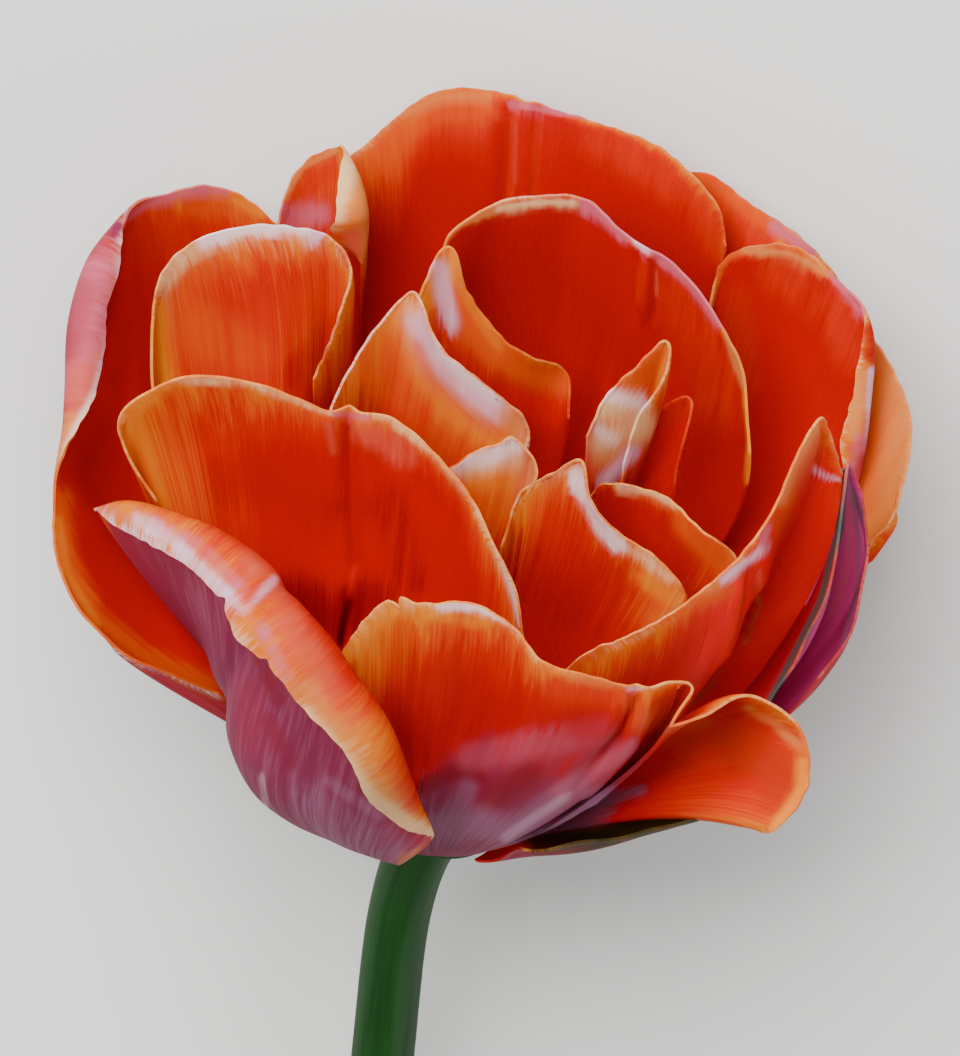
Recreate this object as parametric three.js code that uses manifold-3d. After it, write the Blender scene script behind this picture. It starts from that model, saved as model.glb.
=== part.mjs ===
import * as THREE from 'three';
import * as BufferGeometryUtils from 'three/addons/utils/BufferGeometryUtils.js';
import Module from 'manifold-3d';

// A cut double tulip lying on its side, in millimetres, with +Z up. The stem lies along Y and the bloom's
// mouth looks along +Y and a little up. The origin is on the surface, under the middle of the flower.
//
// The bloom is built upright in a frame of its own: +Z out of the mouth, -Y to its front, +X to its right.
// A margin point is written as the bloom is drawn when seen from the front and 45 degrees above: how far
// across, how far up the drawing, and how high along the bloom's axis.

const DRAWING_SLOPE = Math.SQRT1_2;

const BLADE = 0.8;
const GAP = 0.3;
const LEAF_BLADE = 1;
const SETTLING = 0.05;
const LEAST_EDGE = 0.03;

// How the bloom lies: its axis rises from the stem to the mouth, and its back petals are pressed flat.
const BLOOM_RISE = 22;
const BLOOM_AT = [7.2, 104.4, 20.5];

const STEM_RADIUS = [3.3, 3.8];
const STEM_SIDES = 12;
const STEM_STEPS = 36;

// How far the stem swells under the bloom, and how fast that fades towards its cut end.
const NECK_SWELL = 2.2;
const NECK_FADE = 90;

// The stem's middle line, from under the bloom to its cut end, counted from the bloom's place.
const STEM_PATH = [
  [0, 0.5, 0.2], [-0.6, -2.5, -1], [-1.9, -6, -2.4], [-3.2, -10.5, -4.1], [-4.4, -17, -6.1],
  [-5.8, -32, -9.2],
  [-8.2, -60, -11.4], [-10.5, -95, -12], [-10, -140, -12.2], [-7, -190, -13.2], [-5, -240, -14.9],
  [-5, -284, -16.82],
];

// The receptacle that the petals grow from, as heights along the bloom's axis with their radii.
const RECEPTACLE = [[3.4, 2.6], [3.1, 3.6], [2.2, 5], [1, 6.2], [0, 6.7], [-1.5, 6.4]];

// The pistil's outline as rows of [height, radius, lobe], the lobe being how far its three ribs stand out.
const PISTIL = [
  [3.9, 1.8, 0.08], [5, 2.4, 0.1], [11, 2.6, 0.12], [15, 2.1, 0.1], [16.4, 1.9, 0.15], [17.6, 2.8, 0.35],
  [18.8, 2.9, 0.4], [19.4, 1.5, 0.3],
];
const PISTIL_SIDES = 18;

// A stamen's outline as rows of [height, radius], and how far from the axis its foot stands and how it leans.
const STAMEN = [[3.75, 0.4], [6, 0.45], [9.5, 0.4], [10, 0.9], [12, 1.1], [15.5, 1], [17, 0.6]];
const STAMEN_AZIMUTHS = [-150, -100, -45, 20, 85, 145];
const STAMEN_FOOT = 3.9;
const STAMEN_LEAN = 0.02;
const STAMEN_SIDES = 8;

// Leaves: where each clasps the stem, its midrib from there counted from the clasp, and its half widths.
const LEAVES = {
  lower_leaf: {
    clasp: -240, side: -1,
    midrib: [
      [0, 0, 0], [-0.9, 8, 0.3], [-4.5, 20, 1.5], [-13, 40, 5], [-26, 66, 9], [-39, 96, 8.5], [-49, 126, 2],
      [-54, 148, -5],
    ],
    width: [6.2, 9.5, 14, 17, 17.5, 15.5, 11.5, 6.2, 0.8],
  },
  upper_leaf: {
    clasp: -158, side: 1,
    midrib: [
      [0, 0, 0], [0.9, 7, 0.3], [4.5, 17, 1.5], [11, 32, 4.5], [20, 52, 7], [29, 72, 5], [36, 90, -1.5],
      [39, 101, -6.5],
    ],
    width: [6.2, 8.5, 11.5, 13, 13, 11.5, 8.3, 4.5, 0.8],
  },
};

// Half the angle that a leaf bends round its midrib, from where it clasps the stem to its tip.
const LEAF_TURN = [80, 60, 42, 32, 27, 24, 22, 18, 10];
const LEAF_COLUMNS = 8;
const LEAF_ROWS = 20;

// Between these shares of a leaf's length it leaves the stem and turns its inner face up by so many degrees.
const LEAF_LEAVES = [0.04, 0.42];
const LEAF_FACE = 75;

// How high the waves of a leaf's edges stand, and how fast they follow each other along it and across it.
const LEAF_WAVE = 1.2;
const LEAF_WAVES = [9, 2];

const ROWS = 6;
const CURL_ROWS = 2;
const CURL_STEPS = 8;
const LEAST_STRIP = 1;

const wasm = await Module();
wasm.setup();

const vec = (x, y, z) => new THREE.Vector3(x, y, z);
const radians = THREE.MathUtils.degToRad;
const UP = vec(0, 0, 1);

// The surface under the flower, as its upward direction and its depth in the flower's and the bloom's frames.
const UNDER_STEM = { up: UP, depth: 0 };
const UNDER_BLOOM = {
  up: vec(0, -Math.cos(radians(BLOOM_RISE)), Math.sin(radians(BLOOM_RISE))),
  depth: BLOOM_AT[2],
};

// A petal's base is its azimuth, its distance from the axis and its height. Its margin is written as rows of
// [across, up, height, lean, curl, strip]: the lean is how far the petal tilts outwards there, and the curl
// is how far its last strip turns over, outwards or, below zero, inwards. The skew makes one side belly out
// more than the other. A crease is [across, width, depth] and a bulge [across, along, width, length, height].
const OUTER = { columns: 12, fan: 45, open: 42, rise: 28, pull: [1.25, 0.9] };
const MIDDLE = { columns: 12, fan: 35, open: 45, rise: 30, pull: [1.1, 0.8] };
const INNER = { columns: 10, fan: 20, open: 30, rise: 60, pull: [0.7, 0.7] };

const PETALS = {
  front_left: {
    ...OUTER, base: [-45, 7.3, 0], spread: 22, open: 30, rise: 32, faces: -50, pull: [1.4, 0.7],
    skew: 0.55, bulges: [[0.38, 0.45, 0.22, 0.22, 4.5], [0, 0.5, 0.25, 0.3, -2.5]],
    margin: [
      [-35.5, 31, 46, 20, 60, 1], [-31, 31.4, 50, 10, 160, 5.5], [-27, 30.3, 51, 5, 160, 8],
      [-22, 28, 51, 0, 160, 9.5], [-17.2, 24.3, 50, 0, 160, 10.5], [-14.2, 20.2, 48, 0, 160, 11],
      [-11.1, 16.2, 45, 0, 160, 11], [-8.1, 11.7, 41, 0, 160, 10.5], [-5, 6.7, 35, 10, 160, 9.5],
      [-2.5, 1.8, 28, 20, 150, 6], [-0.5, -3, 20, 30, 60, 1],
    ],
  },
  front: {
    ...OUTER, base: [12, 7.3, 0], spread: 22, rise: 40, faces: 12, pull: [1.2, 0.75],
    creases: [[0.53, 0.06, 0.8]],
    margin: [
      [-10.5, 15.5, 42, 0], [-8, 19.2, 47, 0], [-4.5, 22, 51, 0], [-1, 21.3, 52, 0], [4, 21.3, 52, 0],
      [8, 19, 51, 0], [11, 15.5, 50, 0], [16, 14, 49, 0], [21, 12.5, 47, 0], [26, 12.8, 45, 20],
      [29, 9.5, 43, 40], [33, 11.2, 42, 55], [38, 7.5, 38, 70], [38.5, 2, 33, 80], [34.5, -2.8, 27, 80],
      [29, 0.5, 22, 60],
    ],
  },
  under_front: {
    ...OUTER, base: [45, 7.3, -2.2], spread: 12, open: 20, rise: 35, faces: 45, pull: [0.9, 0.6],
    margin: [
      [9, -4.5, 12, 45], [13, -4.2, 15, 45], [20, -3, 19, 40], [26, -1.3, 23, 40], [31, 0.3, 26, 40],
      [29, 4, 27, 40], [24, 6, 26, 40],
    ],
  },
  left: {
    ...OUTER, base: [-105, 7.3, 0], spread: 20, open: 38, rise: 48, faces: -105, pull: [1.2, 0.9],
    margin: [
      [-16, 60, 50, 10], [-20, 63.8, 54, 10], [-24.5, 65.4, 56, 10], [-29, 64.3, 57, 10],
      [-33.5, 61.3, 57, 5, -60, 3], [-37, 57, 56, 0, -150, 5.5], [-38.9, 51, 54, 0, -150, 6],
      [-39.2, 44, 51, 0, -150, 5], [-39.5, 37, 47, 10, -60, 2], [-40.2, 29, 41, 20],
      [-38.5, 22.5, 35, 25], [-34, 17, 29, 35], [-28, 13.8, 24, 40], [-23, 11.8, 20, 40],
    ],
  },
  back_left: {
    ...OUTER, base: [-147, 7.3, 0], spread: 14, open: 20, faces: -150, pull: [1.5, 0.9],
    margin: [
      [-17.5, 58, 48, 5], [-16.3, 64, 54, 10], [-14, 67.7, 58, 10], [-10.5, 69.5, 61, 5],
      [-8.2, 66.5, 60, 5, -120, 4], [-7.2, 62, 57, 5, -120, 5], [-8, 57, 52, 5, -120, 3],
    ].reverse(),
  },
  back: {
    ...OUTER, base: [172, 7.3, 0], spread: 15, open: 30, faces: 170,
    margin: [
      [-12, 66, 52, 10], [-7.5, 70, 58, 15], [-1, 75, 63, 20], [5, 75.5, 64, 22], [12, 73.5, 63, 22],
      [17, 72, 62, 20], [24, 69, 60, 18], [29, 64, 57, 12], [30.5, 59, 53, 8],
    ].reverse(),
  },
  back_right: {
    ...OUTER, base: [138, 7.3, 0], spread: 14, open: 22, faces: 140, pull: [1.6, 0.9],
    margin: [
      [22, 66, 50, 20], [28, 66.8, 54, 25], [33, 63.5, 54, 28], [38, 60.3, 53, 30], [42, 56, 49, 28],
      [45, 51, 43, 25],
    ].reverse(),
  },
  right: {
    ...OUTER, base: [103, 7.3, 0], spread: 12, open: 30, faces: 100,
    margin: [
      [44, 51, 46, 20], [47, 48, 46, 22], [49, 43.5, 45, 25], [50, 39, 43, 25], [49.6, 34.5, 40, 25],
      [48, 30.5, 36, 22], [45.5, 28, 32, 20],
    ].reverse(),
  },
  right_sepal: {
    ...OUTER, columns: 8, base: [75, 7.3, -1], spread: 9, open: 12, faces: 80, fan: 10,
    margin: [
      [35, 10.5, 27, 30], [38, 15.5, 33, 20], [41, 22, 41, 10], [42.3, 29, 47, 5], [43, 36, 52, 0],
      [44.8, 32, 47, 0], [45.5, 26, 41, 5], [43.5, 18, 34, 20], [40, 13.5, 29, 30],
    ],
  },
  inner_back_left: {
    ...MIDDLE, base: [-120, 6.3, 2.2], spread: 22, faces: -120,
    margin: [
      [-29.5, 41, 44, 5], [-30.2, 50, 51, 5], [-29, 56, 57, 10], [-25, 59.7, 61, 20], [-20, 60.8, 63, 25],
      [-15.5, 60.8, 63, 20], [-11.5, 60, 62, 10], [-9, 56.5, 60, 5], [-10, 51.5, 55, 0], [-13, 45, 48, 0],
    ].reverse(),
  },
  inner_left: {
    ...MIDDLE, base: [-40, 6.3, 2.2], spread: 25, faces: -40, fan: 10, creases: [[0.54, 0.06, 0.6]],
    margin: [
      [-29.5, 32, 45, 20], [-33, 38, 52, 20], [-33, 41.5, 57, 20], [-28, 44.6, 61, 20],
      [-24, 45.1, 62, 15], [-18, 44, 62, 10], [-12.5, 41.5, 61, 5], [-9.7, 40.8, 61, 5],
      [-5, 40.4, 61, 5], [0, 37, 59, 5], [4, 32, 56, 5], [7.2, 26, 51, 5], [9, 21, 46, 5],
      [9.8, 16, 40, 5],
    ],
  },
  inner_back_right: {
    ...MIDDLE, base: [155, 6.3, 2.2], spread: 22, faces: 150,
    margin: [
      [0, 56, 55, 0], [1, 60.3, 60, 0], [5, 63, 62, 0], [10, 63.8, 63, 0], [15.5, 63.6, 63, 0],
      [21, 59.6, 62, 0], [25.5, 56.8, 60, 0], [29.5, 51, 57, 0], [32, 45, 52, 0], [33, 37, 45, 0],
    ].reverse(),
  },
  inner_right: {
    ...MIDDLE, base: [105, 6.3, 2.2], spread: 15, faces: 115,
    margin: [
      [28, 52, 46, 5], [30, 57.5, 52, 10], [34, 59, 55, 15], [38.5, 58.3, 56, 18], [43, 54.5, 54, 18],
      [45.8, 50, 51, 12, -120, 2.5], [46, 44, 46, 5, -130, 3], [45, 38, 41, 0, -120, 3], [43, 33, 36, 0],
    ].reverse(),
  },
  inner_front_right: {
    ...MIDDLE, base: [55, 6.3, 2.2], spread: 20, faces: 60, creases: [[0.48, 0.06, 0.6]],
    margin: [
      [12.5, 13.5, 34, 0], [16, 16.5, 38, 0], [20, 18, 41, 0], [25, 20.5, 44, 0], [30, 24, 47, 0],
      [34.3, 28.5, 50, 0], [37, 36, 54, 0], [40.2, 41, 56, 0], [42.5, 35, 47, 0], [43.5, 28, 38, 0],
      [42, 20, 29, 0],
    ],
  },
  heart_left: {
    ...INNER, base: [-90, 4.9, 3.7], spread: 22, rise: 42, faces: -60,
    margin: [
      [-12.5, 38, 48, 0], [-9, 46, 55, 0], [-5.5, 51, 59, 0], [-2.5, 54, 62, 0], [-0.4, 50.2, 60, 0],
      [1.6, 47.6, 58.5, 0], [4, 45.4, 56.5, 0], [6.6, 43.1, 54, 0], [8.8, 41, 52, 0], [9.4, 38.8, 49.5, 0],
      [8.5, 36, 46, 0],
    ],
  },
  heart_back: {
    ...INNER, base: [178, 4.9, 3.7], spread: 22, faces: 180,
    margin: [
      [-4, 50, 52, 0], [-1, 56, 59, 0], [1.2, 58.5, 62, 0], [3, 54, 57, 0], [6, 50.5, 53, 0],
      [10, 47.5, 50, 0], [13.5, 45.5, 47, 0], [14, 41, 43, 0],
    ].reverse(),
  },
  heart_middle: {
    ...INNER, base: [-25, 4.9, 3.7], spread: 20, rise: 42, faces: 0,
    margin: [
      [0, 35, 48, 0], [3, 36.6, 50, 0], [6, 38, 52, 0], [8, 38.8, 53, 0], [10, 35.5, 50, 0],
      [9.5, 32, 46, 0],
    ],
  },
  heart_front: {
    ...INNER, base: [25, 4.9, 3.7], spread: 18, faces: 20,
    margin: [
      [7, 27, 41, 0], [9, 33, 47, 0], [12, 35.2, 50, 0], [15.3, 36.5, 53, 0], [16.3, 32, 49, 0],
      [19, 28.8, 46, 0], [23, 26, 44, 0], [26, 22.5, 41, 0], [24, 19, 36, 0],
    ],
  },
  heart_twisted: {
    ...INNER, base: [100, 4.9, 3.7], spread: 10, faces: 40,
    margin: [
      [15.6, 39, 50, 0], [17.5, 43, 54, 0], [21, 46.5, 58, 0], [24, 48.7, 60, 0], [23.3, 44.5, 56, 0],
      [21, 40.5, 52, 0], [19.7, 36, 47, 0],
    ],
  },
  heart_right: {
    ...INNER, base: [65, 4.9, 3.7], spread: 15, faces: 50,
    margin: [
      [15.5, 32, 42, 0], [17.5, 33.8, 45, 0], [21, 33.2, 46, 0], [24.5, 32, 46, 0], [28, 29.2, 45, 0],
      [31.3, 26.3, 42, 0], [31, 22, 37, 0],
    ],
  },
  heart_back_right: {
    ...INNER, base: [135, 4.9, 3.7], spread: 15, faces: 130,
    margin: [
      [18, 33, 41, 0], [20, 39, 47, 0], [23, 41.5, 50, 0], [26.2, 42.8, 52, 0], [26, 39, 48, 0],
      [25, 34, 42, 0],
    ].reverse(),
  },
};


// A point of the bloom from its place in the drawing and its height along the axis.
function drawn(across, up, height) {
  return vec(across, up / DRAWING_SLOPE - height, height);
}

// The level direction at an azimuth, counted from the front to the right.
function facing(azimuth) {
  const a = radians(azimuth);
  return vec(Math.sin(a), -Math.cos(a), 0);
}

// A smooth curve through evenly spaced values, read at t from 0 to 1.
function spline(values, t) {
  const n = values.length - 1;
  const i = Math.min(Math.floor(t * n), n - 1);
  const f = t * n - i;
  const at = (k) => values[Math.min(Math.max(k, 0), n)];
  const [a, b, c, d] = [at(i - 1), at(i), at(i + 1), at(i + 2)];
  return 0.5 * (2 * b + (c - a) * f + (2 * a - 5 * b + 4 * c - d) * f * f + (3 * b - a - 3 * c + d) * f ** 3);
}

// The margin at u, from the petal's first shoulder over its tip to its last one.
function marginAt(petal, u) {
  const pick = (k) => spline(petal.margin.map((row) => row[k] ?? 0), u);
  return {
    point: drawn(pick(0), pick(1), pick(2)),
    lean: radians(pick(3)),
    curl: radians(pick(4)),
    strip: pick(5),
  };
}

// One vein of the petal: from its root in a smooth bow to the margin, then over in the margin's curl.
function vein(petal, u) {
  const side = 2 * u - 1;
  const m = marginAt(petal, u);
  const step = 0.004;
  const before = marginAt(petal, Math.max(u - step, 0)).point;
  const along = marginAt(petal, Math.min(u + step, 1)).point.sub(before).normalize();
  const finish = facing(petal.faces + side * petal.fan).multiplyScalar(Math.sin(m.lean));
  finish.addScaledVector(UP, Math.cos(m.lean));
  const across = finish.clone().addScaledVector(along, -finish.dot(along)).normalize();
  const outer = along.clone().cross(across).normalize();
  across.lerp(finish, side ** 8).normalize();
  const end = m.point.clone().addScaledVector(across, Math.min(m.strip, LEAST_STRIP) - LEAST_STRIP);

  const [azimuth, radius, height] = petal.base;
  const root = facing(azimuth + side * petal.spread).multiplyScalar(radius);
  root.z = height;
  const rise = radians(petal.rise);
  const start = facing(azimuth + side * petal.open).multiplyScalar(Math.cos(rise));
  start.z += Math.sin(rise);
  const chord = end.distanceTo(root);
  const pull = petal.pull[0] + (petal.skew ?? 0) * side;
  const points = [];
  for (let j = 0; j <= ROWS; j++) {
    const t = j / ROWS;
    const p = root.clone().lerp(end, t * t * (3 - 2 * t));
    p.addScaledVector(start, pull * chord * t * (1 - t) ** 2);
    p.addScaledVector(finish, petal.pull[1] * chord * t * t * (t - 1));
    points.push(p);
  }
  const steps = CURL_ROWS * CURL_STEPS;
  const strip = Math.max(m.strip, LEAST_STRIP) / steps;
  const p = end.clone();
  for (let j = 1; j <= steps; j++) {
    const turn = m.curl * (j - 0.5) / steps;
    p.addScaledVector(across, strip * Math.cos(turn)).addScaledVector(outer, strip * Math.sin(turn));
    if (j % CURL_STEPS === 0) points.push(p.clone());
  }
  return points;
}

// The unit normals of a grid of points.
function normals(grid) {
  const lastColumn = grid.length - 1;
  const lastRow = grid[0].length - 1;
  return grid.map((column, i) => column.map((p, j) => {
    const du = grid[Math.min(i + 1, lastColumn)][j].clone().sub(grid[Math.max(i - 1, 0)][j]);
    const dv = column[Math.min(j + 1, lastRow)].clone().sub(column[Math.max(j - 1, 0)]);
    return du.cross(dv).normalize();
  }));
}

// Lifts the points that are less than a height over the surface that the flower lies on.
function lift(points, surface, height) {
  for (const p of points) {
    const under = height - surface.depth - p.dot(surface.up);
    if (under > 0) p.addScaledVector(surface.up, under);
  }
}

// The middle surface of a petal as columns of points, with its creases and bulges.
function petalSheet(petal) {
  const grid = [];
  for (let i = 0; i <= petal.columns; i++) grid.push(vein(petal, i / petal.columns));
  const n = normals(grid);
  grid.forEach((column, i) => column.forEach((p, j) => {
    const u = i / petal.columns;
    const v = Math.min(j / ROWS, 1);
    for (const [at, width, depth] of petal.creases ?? []) {
      p.addScaledVector(n[i][j], -depth * v ** 2 * Math.exp(-(((u - at) / width) ** 2)));
    }
    for (const [across, along, width, length, height] of petal.bulges ?? []) {
      const away = ((u - across) / width) ** 2 + ((v - along) / length) ** 2;
      p.addScaledVector(n[i][j], height * Math.exp(-away));
    }
  }));
  lift(grid.flat(), UNDER_BLOOM, BLADE / 2 - SETTLING);
  return grid;
}

// Widens a grid past its edges.
function widen(grid, by) {
  const out = grid.map((column) => column.map((p) => p.clone()));
  const last = out.length - 1;
  const end = out[0].length - 1;
  const push = (p, from) => p.add(p.clone().sub(from).setLength(by));
  for (let j = 0; j <= end; j++) {
    push(out[0][j], grid[1][j]);
    push(out[last][j], grid[last - 1][j]);
  }
  for (let i = 0; i <= last; i++) push(out[i][end], grid[i][end - 1]);
  return out;
}

// A closed blade of even thickness round a middle surface, with both faces split alike. It lies flat where it
// rests.
function blade(grid, thickness, surface) {
  const n = normals(grid);
  const columns = grid.length;
  const rows = grid[0].length;
  const corners = [0.5, -0.5].flatMap((side) => grid.flatMap((column, i) => column.map((p, j) => (
    p.clone().addScaledVector(n[i][j], side * thickness)
  ))));
  lift(corners, surface, 0);
  const at = (s, i, j) => (s * columns + i) * rows + j;
  const index = [];
  for (let i = 0; i < columns - 1; i++) {
    for (let j = 0; j < rows - 1; j++) {
      index.push(at(0, i, j), at(0, i + 1, j), at(0, i + 1, j + 1));
      index.push(at(0, i, j), at(0, i + 1, j + 1), at(0, i, j + 1));
      index.push(at(1, i, j), at(1, i + 1, j + 1), at(1, i + 1, j));
      index.push(at(1, i, j), at(1, i, j + 1), at(1, i + 1, j + 1));
    }
  }
  const rim = [];
  for (let i = 0; i < columns; i++) rim.push([i, 0]);
  for (let j = 1; j < rows; j++) rim.push([columns - 1, j]);
  for (let i = columns - 2; i >= 0; i--) rim.push([i, rows - 1]);
  for (let j = rows - 2; j > 0; j--) rim.push([0, j]);
  rim.forEach(([i, j], k) => {
    const [i2, j2] = rim[(k + 1) % rim.length];
    index.push(at(0, i, j), at(1, i, j), at(1, i2, j2), at(0, i, j), at(1, i2, j2), at(0, i2, j2));
  });
  return geometryOf(corners.flatMap((p) => p.toArray()), index);
}

function geometryOf(positions, index) {
  const geometry = new THREE.BufferGeometry();
  geometry.setAttribute('position', new THREE.Float32BufferAttribute(positions, 3));
  geometry.setIndex(index);
  return geometry;
}

function solidOf(geometry) {
  const merged = BufferGeometryUtils.mergeVertices(geometry, 1e-4);
  return new wasm.Manifold(new wasm.Mesh({
    numProp: 3,
    vertProperties: new Float32Array(merged.attributes.position.array),
    triVerts: new Uint32Array(merged.index.array),
  }));
}

function geometryFrom(solid) {
  const mesh = solid.getMesh();
  return geometryOf(Array.from(mesh.vertProperties), Array.from(mesh.triVerts));
}

// A solid less every cutter that it crosses, as the largest piece that is left.
function cutBy(solid, cutters) {
  let left = solid;
  for (const cutter of cutters) {
    if (left.intersect(cutter).volume() > 0) left = left.subtract(cutter);
  }
  const largest = left.decompose().reduce((a, b) => (a.volume() > b.volume() ? a : b));
  return largest.simplify(LEAST_EDGE);
}

// Closes rings of points, one after another from first to last, into a body with a cap at each end.
function capped(positions, rings, sides, first, last) {
  const index = [];
  positions.push(...first, ...last);
  const apex = rings * sides;
  for (let k = 0; k < sides; k++) {
    const next = (k + 1) % sides;
    for (let i = 0; i < rings - 1; i++) {
      const [a, b] = [i * sides + k, i * sides + next];
      index.push(a, b, b + sides, a, b + sides, a + sides);
    }
    index.push(apex, next, k, apex + 1, (rings - 1) * sides + k, (rings - 1) * sides + next);
  }
  return geometryOf(positions, index);
}

// A closed tube round a path, with a radius for each of its points.
function tube(path, radii, sides) {
  const positions = [];
  const end = path.length - 1;
  path.forEach((p, i) => {
    const ahead = path[Math.min(i + 1, end)].clone().sub(path[Math.max(i - 1, 0)]).normalize();
    const level = vec(1, 0, 0).addScaledVector(ahead, -ahead.x).normalize();
    const other = ahead.clone().cross(level);
    for (let k = 0; k < sides; k++) {
      const a = (2 * Math.PI * (k + 0.5)) / sides;
      const q = p.clone().addScaledVector(level, radii[i] * Math.cos(a));
      q.addScaledVector(other, radii[i] * Math.sin(a));
      positions.push(...q);
    }
  });
  return capped(positions, path.length, sides, path[0], path[end]);
}

function add(group, name, geometry, color, roughness) {
  const flat = geometry.index ? geometry.toNonIndexed() : geometry;
  flat.computeVertexNormals();
  const mesh = new THREE.Mesh(flat, new THREE.MeshStandardMaterial({ color, roughness, metalness: 0 }));
  mesh.name = name;
  group.add(mesh);
}

const bloomPlace = vec(...BLOOM_AT);
const stemCurve = new THREE.CatmullRomCurve3(STEM_PATH.map((row) => vec(...row).add(bloomPlace)));

// The stem and its receptacle, grown as one piece: a tube that swells under the petals and ends in a dome
// between them.
function stem(clearance = 0) {
  const axis = vec(0, Math.cos(radians(BLOOM_RISE)), Math.sin(radians(BLOOM_RISE)));
  const path = RECEPTACLE.map(([height]) => axis.clone().multiplyScalar(height).add(bloomPlace));
  const radii = RECEPTACLE.map(([, radius]) => radius + clearance);
  stemCurve.getSpacedPoints(STEM_STEPS).slice(1).forEach((p, i) => {
    const t = (i + 1) / STEM_STEPS;
    path.push(p);
    radii.push(THREE.MathUtils.lerp(...STEM_RADIUS, t) + NECK_SWELL * Math.exp(-t * NECK_FADE) + clearance);
  });
  return tube(path.reverse(), radii.reverse(), STEM_SIDES);
}

// The pistil in the middle of the bloom: a three-sided ovary under a three-lobed stigma.
function pistil() {
  const positions = [];
  for (const [height, radius, lobe] of PISTIL) {
    for (let k = 0; k < PISTIL_SIDES; k++) {
      const a = (2 * Math.PI * k) / PISTIL_SIDES;
      const r = radius * (1 + lobe * Math.cos(3 * a));
      positions.push(r * Math.cos(a), r * Math.sin(a), height);
    }
  }
  return capped(positions, PISTIL.length, PISTIL_SIDES, vec(0, 0, PISTIL[0][0]), vec(0, 0, PISTIL.at(-1)[0]));
}

// A stamen: a thin filament from the receptacle with a long anther on it, leaning a little outwards.
function stamen(azimuth) {
  const out = facing(azimuth);
  const path = STAMEN.map(([height]) => (
    out.clone().multiplyScalar(STAMEN_FOOT + STAMEN_LEAN * height).setZ(height)
  ));
  return tube(path, STAMEN.map(([, radius]) => radius), STAMEN_SIDES);
}

// A leaf: clasping the stem from the side, then turning its inner face up as it leaves the stem.
function leaf({ clasp, side, midrib, width }) {
  const t = (STEM_PATH[0][1] - clasp) / (STEM_PATH[0][1] - STEM_PATH.at(-1)[1]);
  const away = vec(side, 0, 0);
  const reach = THREE.MathUtils.lerp(...STEM_RADIUS, t) + GAP + LEAF_BLADE / 2;
  const foot = stemCurve.getPointAt(t).addScaledVector(away, reach);
  const curve = new THREE.CatmullRomCurve3(midrib.map((row) => vec(...row).add(foot)));
  const grid = [];
  for (let i = 0; i <= LEAF_COLUMNS; i++) grid.push([]);
  for (let j = 0; j <= LEAF_ROWS; j++) {
    const s = j / LEAF_ROWS;
    const c = curve.getPointAt(s);
    const ahead = curve.getTangentAt(s);
    const turned = THREE.MathUtils.smoothstep(s, ...LEAF_LEAVES);
    const face = radians(LEAF_FACE) * turned;
    const inward = away.clone().multiplyScalar(-Math.cos(face)).addScaledVector(UP, Math.sin(face));
    inward.addScaledVector(ahead, -inward.dot(ahead)).normalize();
    const right = ahead.clone().cross(inward);
    const turn = radians(spline(LEAF_TURN, s));
    const radius = spline(width, s) / turn;
    for (let i = 0; i <= LEAF_COLUMNS; i++) {
      const x = (2 * i) / LEAF_COLUMNS - 1;
      const p = c.clone().addScaledVector(right, radius * Math.sin(turn * x));
      p.addScaledVector(inward, radius * (1 - Math.cos(turn * x)));
      p.addScaledVector(inward, LEAF_WAVE * x * x * Math.sin(LEAF_WAVES[0] * s + LEAF_WAVES[1] * x) * turned);
      grid[i].push(p);
    }
  }
  lift(grid.flat(), UNDER_STEM, LEAF_BLADE / 2 - SETTLING);
  const whole = solidOf(blade(grid, LEAF_BLADE, UNDER_STEM));
  return geometryFrom(cutBy(whole, [solidOf(stem(GAP))]));
}

const flower = new THREE.Group();
const bloom = new THREE.Group();
bloom.rotation.x = radians(BLOOM_RISE - 90);
bloom.position.set(...BLOOM_AT);
flower.add(bloom);

const cutters = [];
for (const [name, petal] of Object.entries(PETALS)) {
  const grid = petalSheet(petal);
  const solid = cutBy(solidOf(blade(grid, BLADE, UNDER_BLOOM)), cutters);
  cutters.push(solidOf(blade(widen(grid, GAP), BLADE + 2 * GAP, UNDER_BLOOM)));
  add(bloom, name, geometryFrom(solid), '#d8260c', 0.5);
}
add(bloom, 'pistil', pistil(), '#a9b25a', 0.5);
STAMEN_AZIMUTHS.forEach((azimuth, k) => {
  add(bloom, `stamen_${k + 1}`, stamen(azimuth), '#4a3a2a', 0.7);
});
add(flower, 'stem', stem(), '#4f8a3c', 0.45);
for (const [name, shape] of Object.entries(LEAVES)) add(flower, name, leaf(shape), '#5d8a52', 0.5);

export default flower;
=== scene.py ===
"""The looks of a cut double tulip that lies on its side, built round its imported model.

The bloom is worked out in millimetres in a frame of its own: +Z out of its mouth, -Y to its front, +X to its
right. A margin point is written as the bloom is drawn when seen from the front and 45 degrees above: how far
across, how far up the drawing, and how high along the bloom's axis.
"""

import logging
import math
from dataclasses import dataclass, field
from enum import Enum
from typing import Any, Dict, List, Optional, Sequence, Tuple, Union

import bpy
import numpy as np
from mathutils import Matrix, Vector


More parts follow.
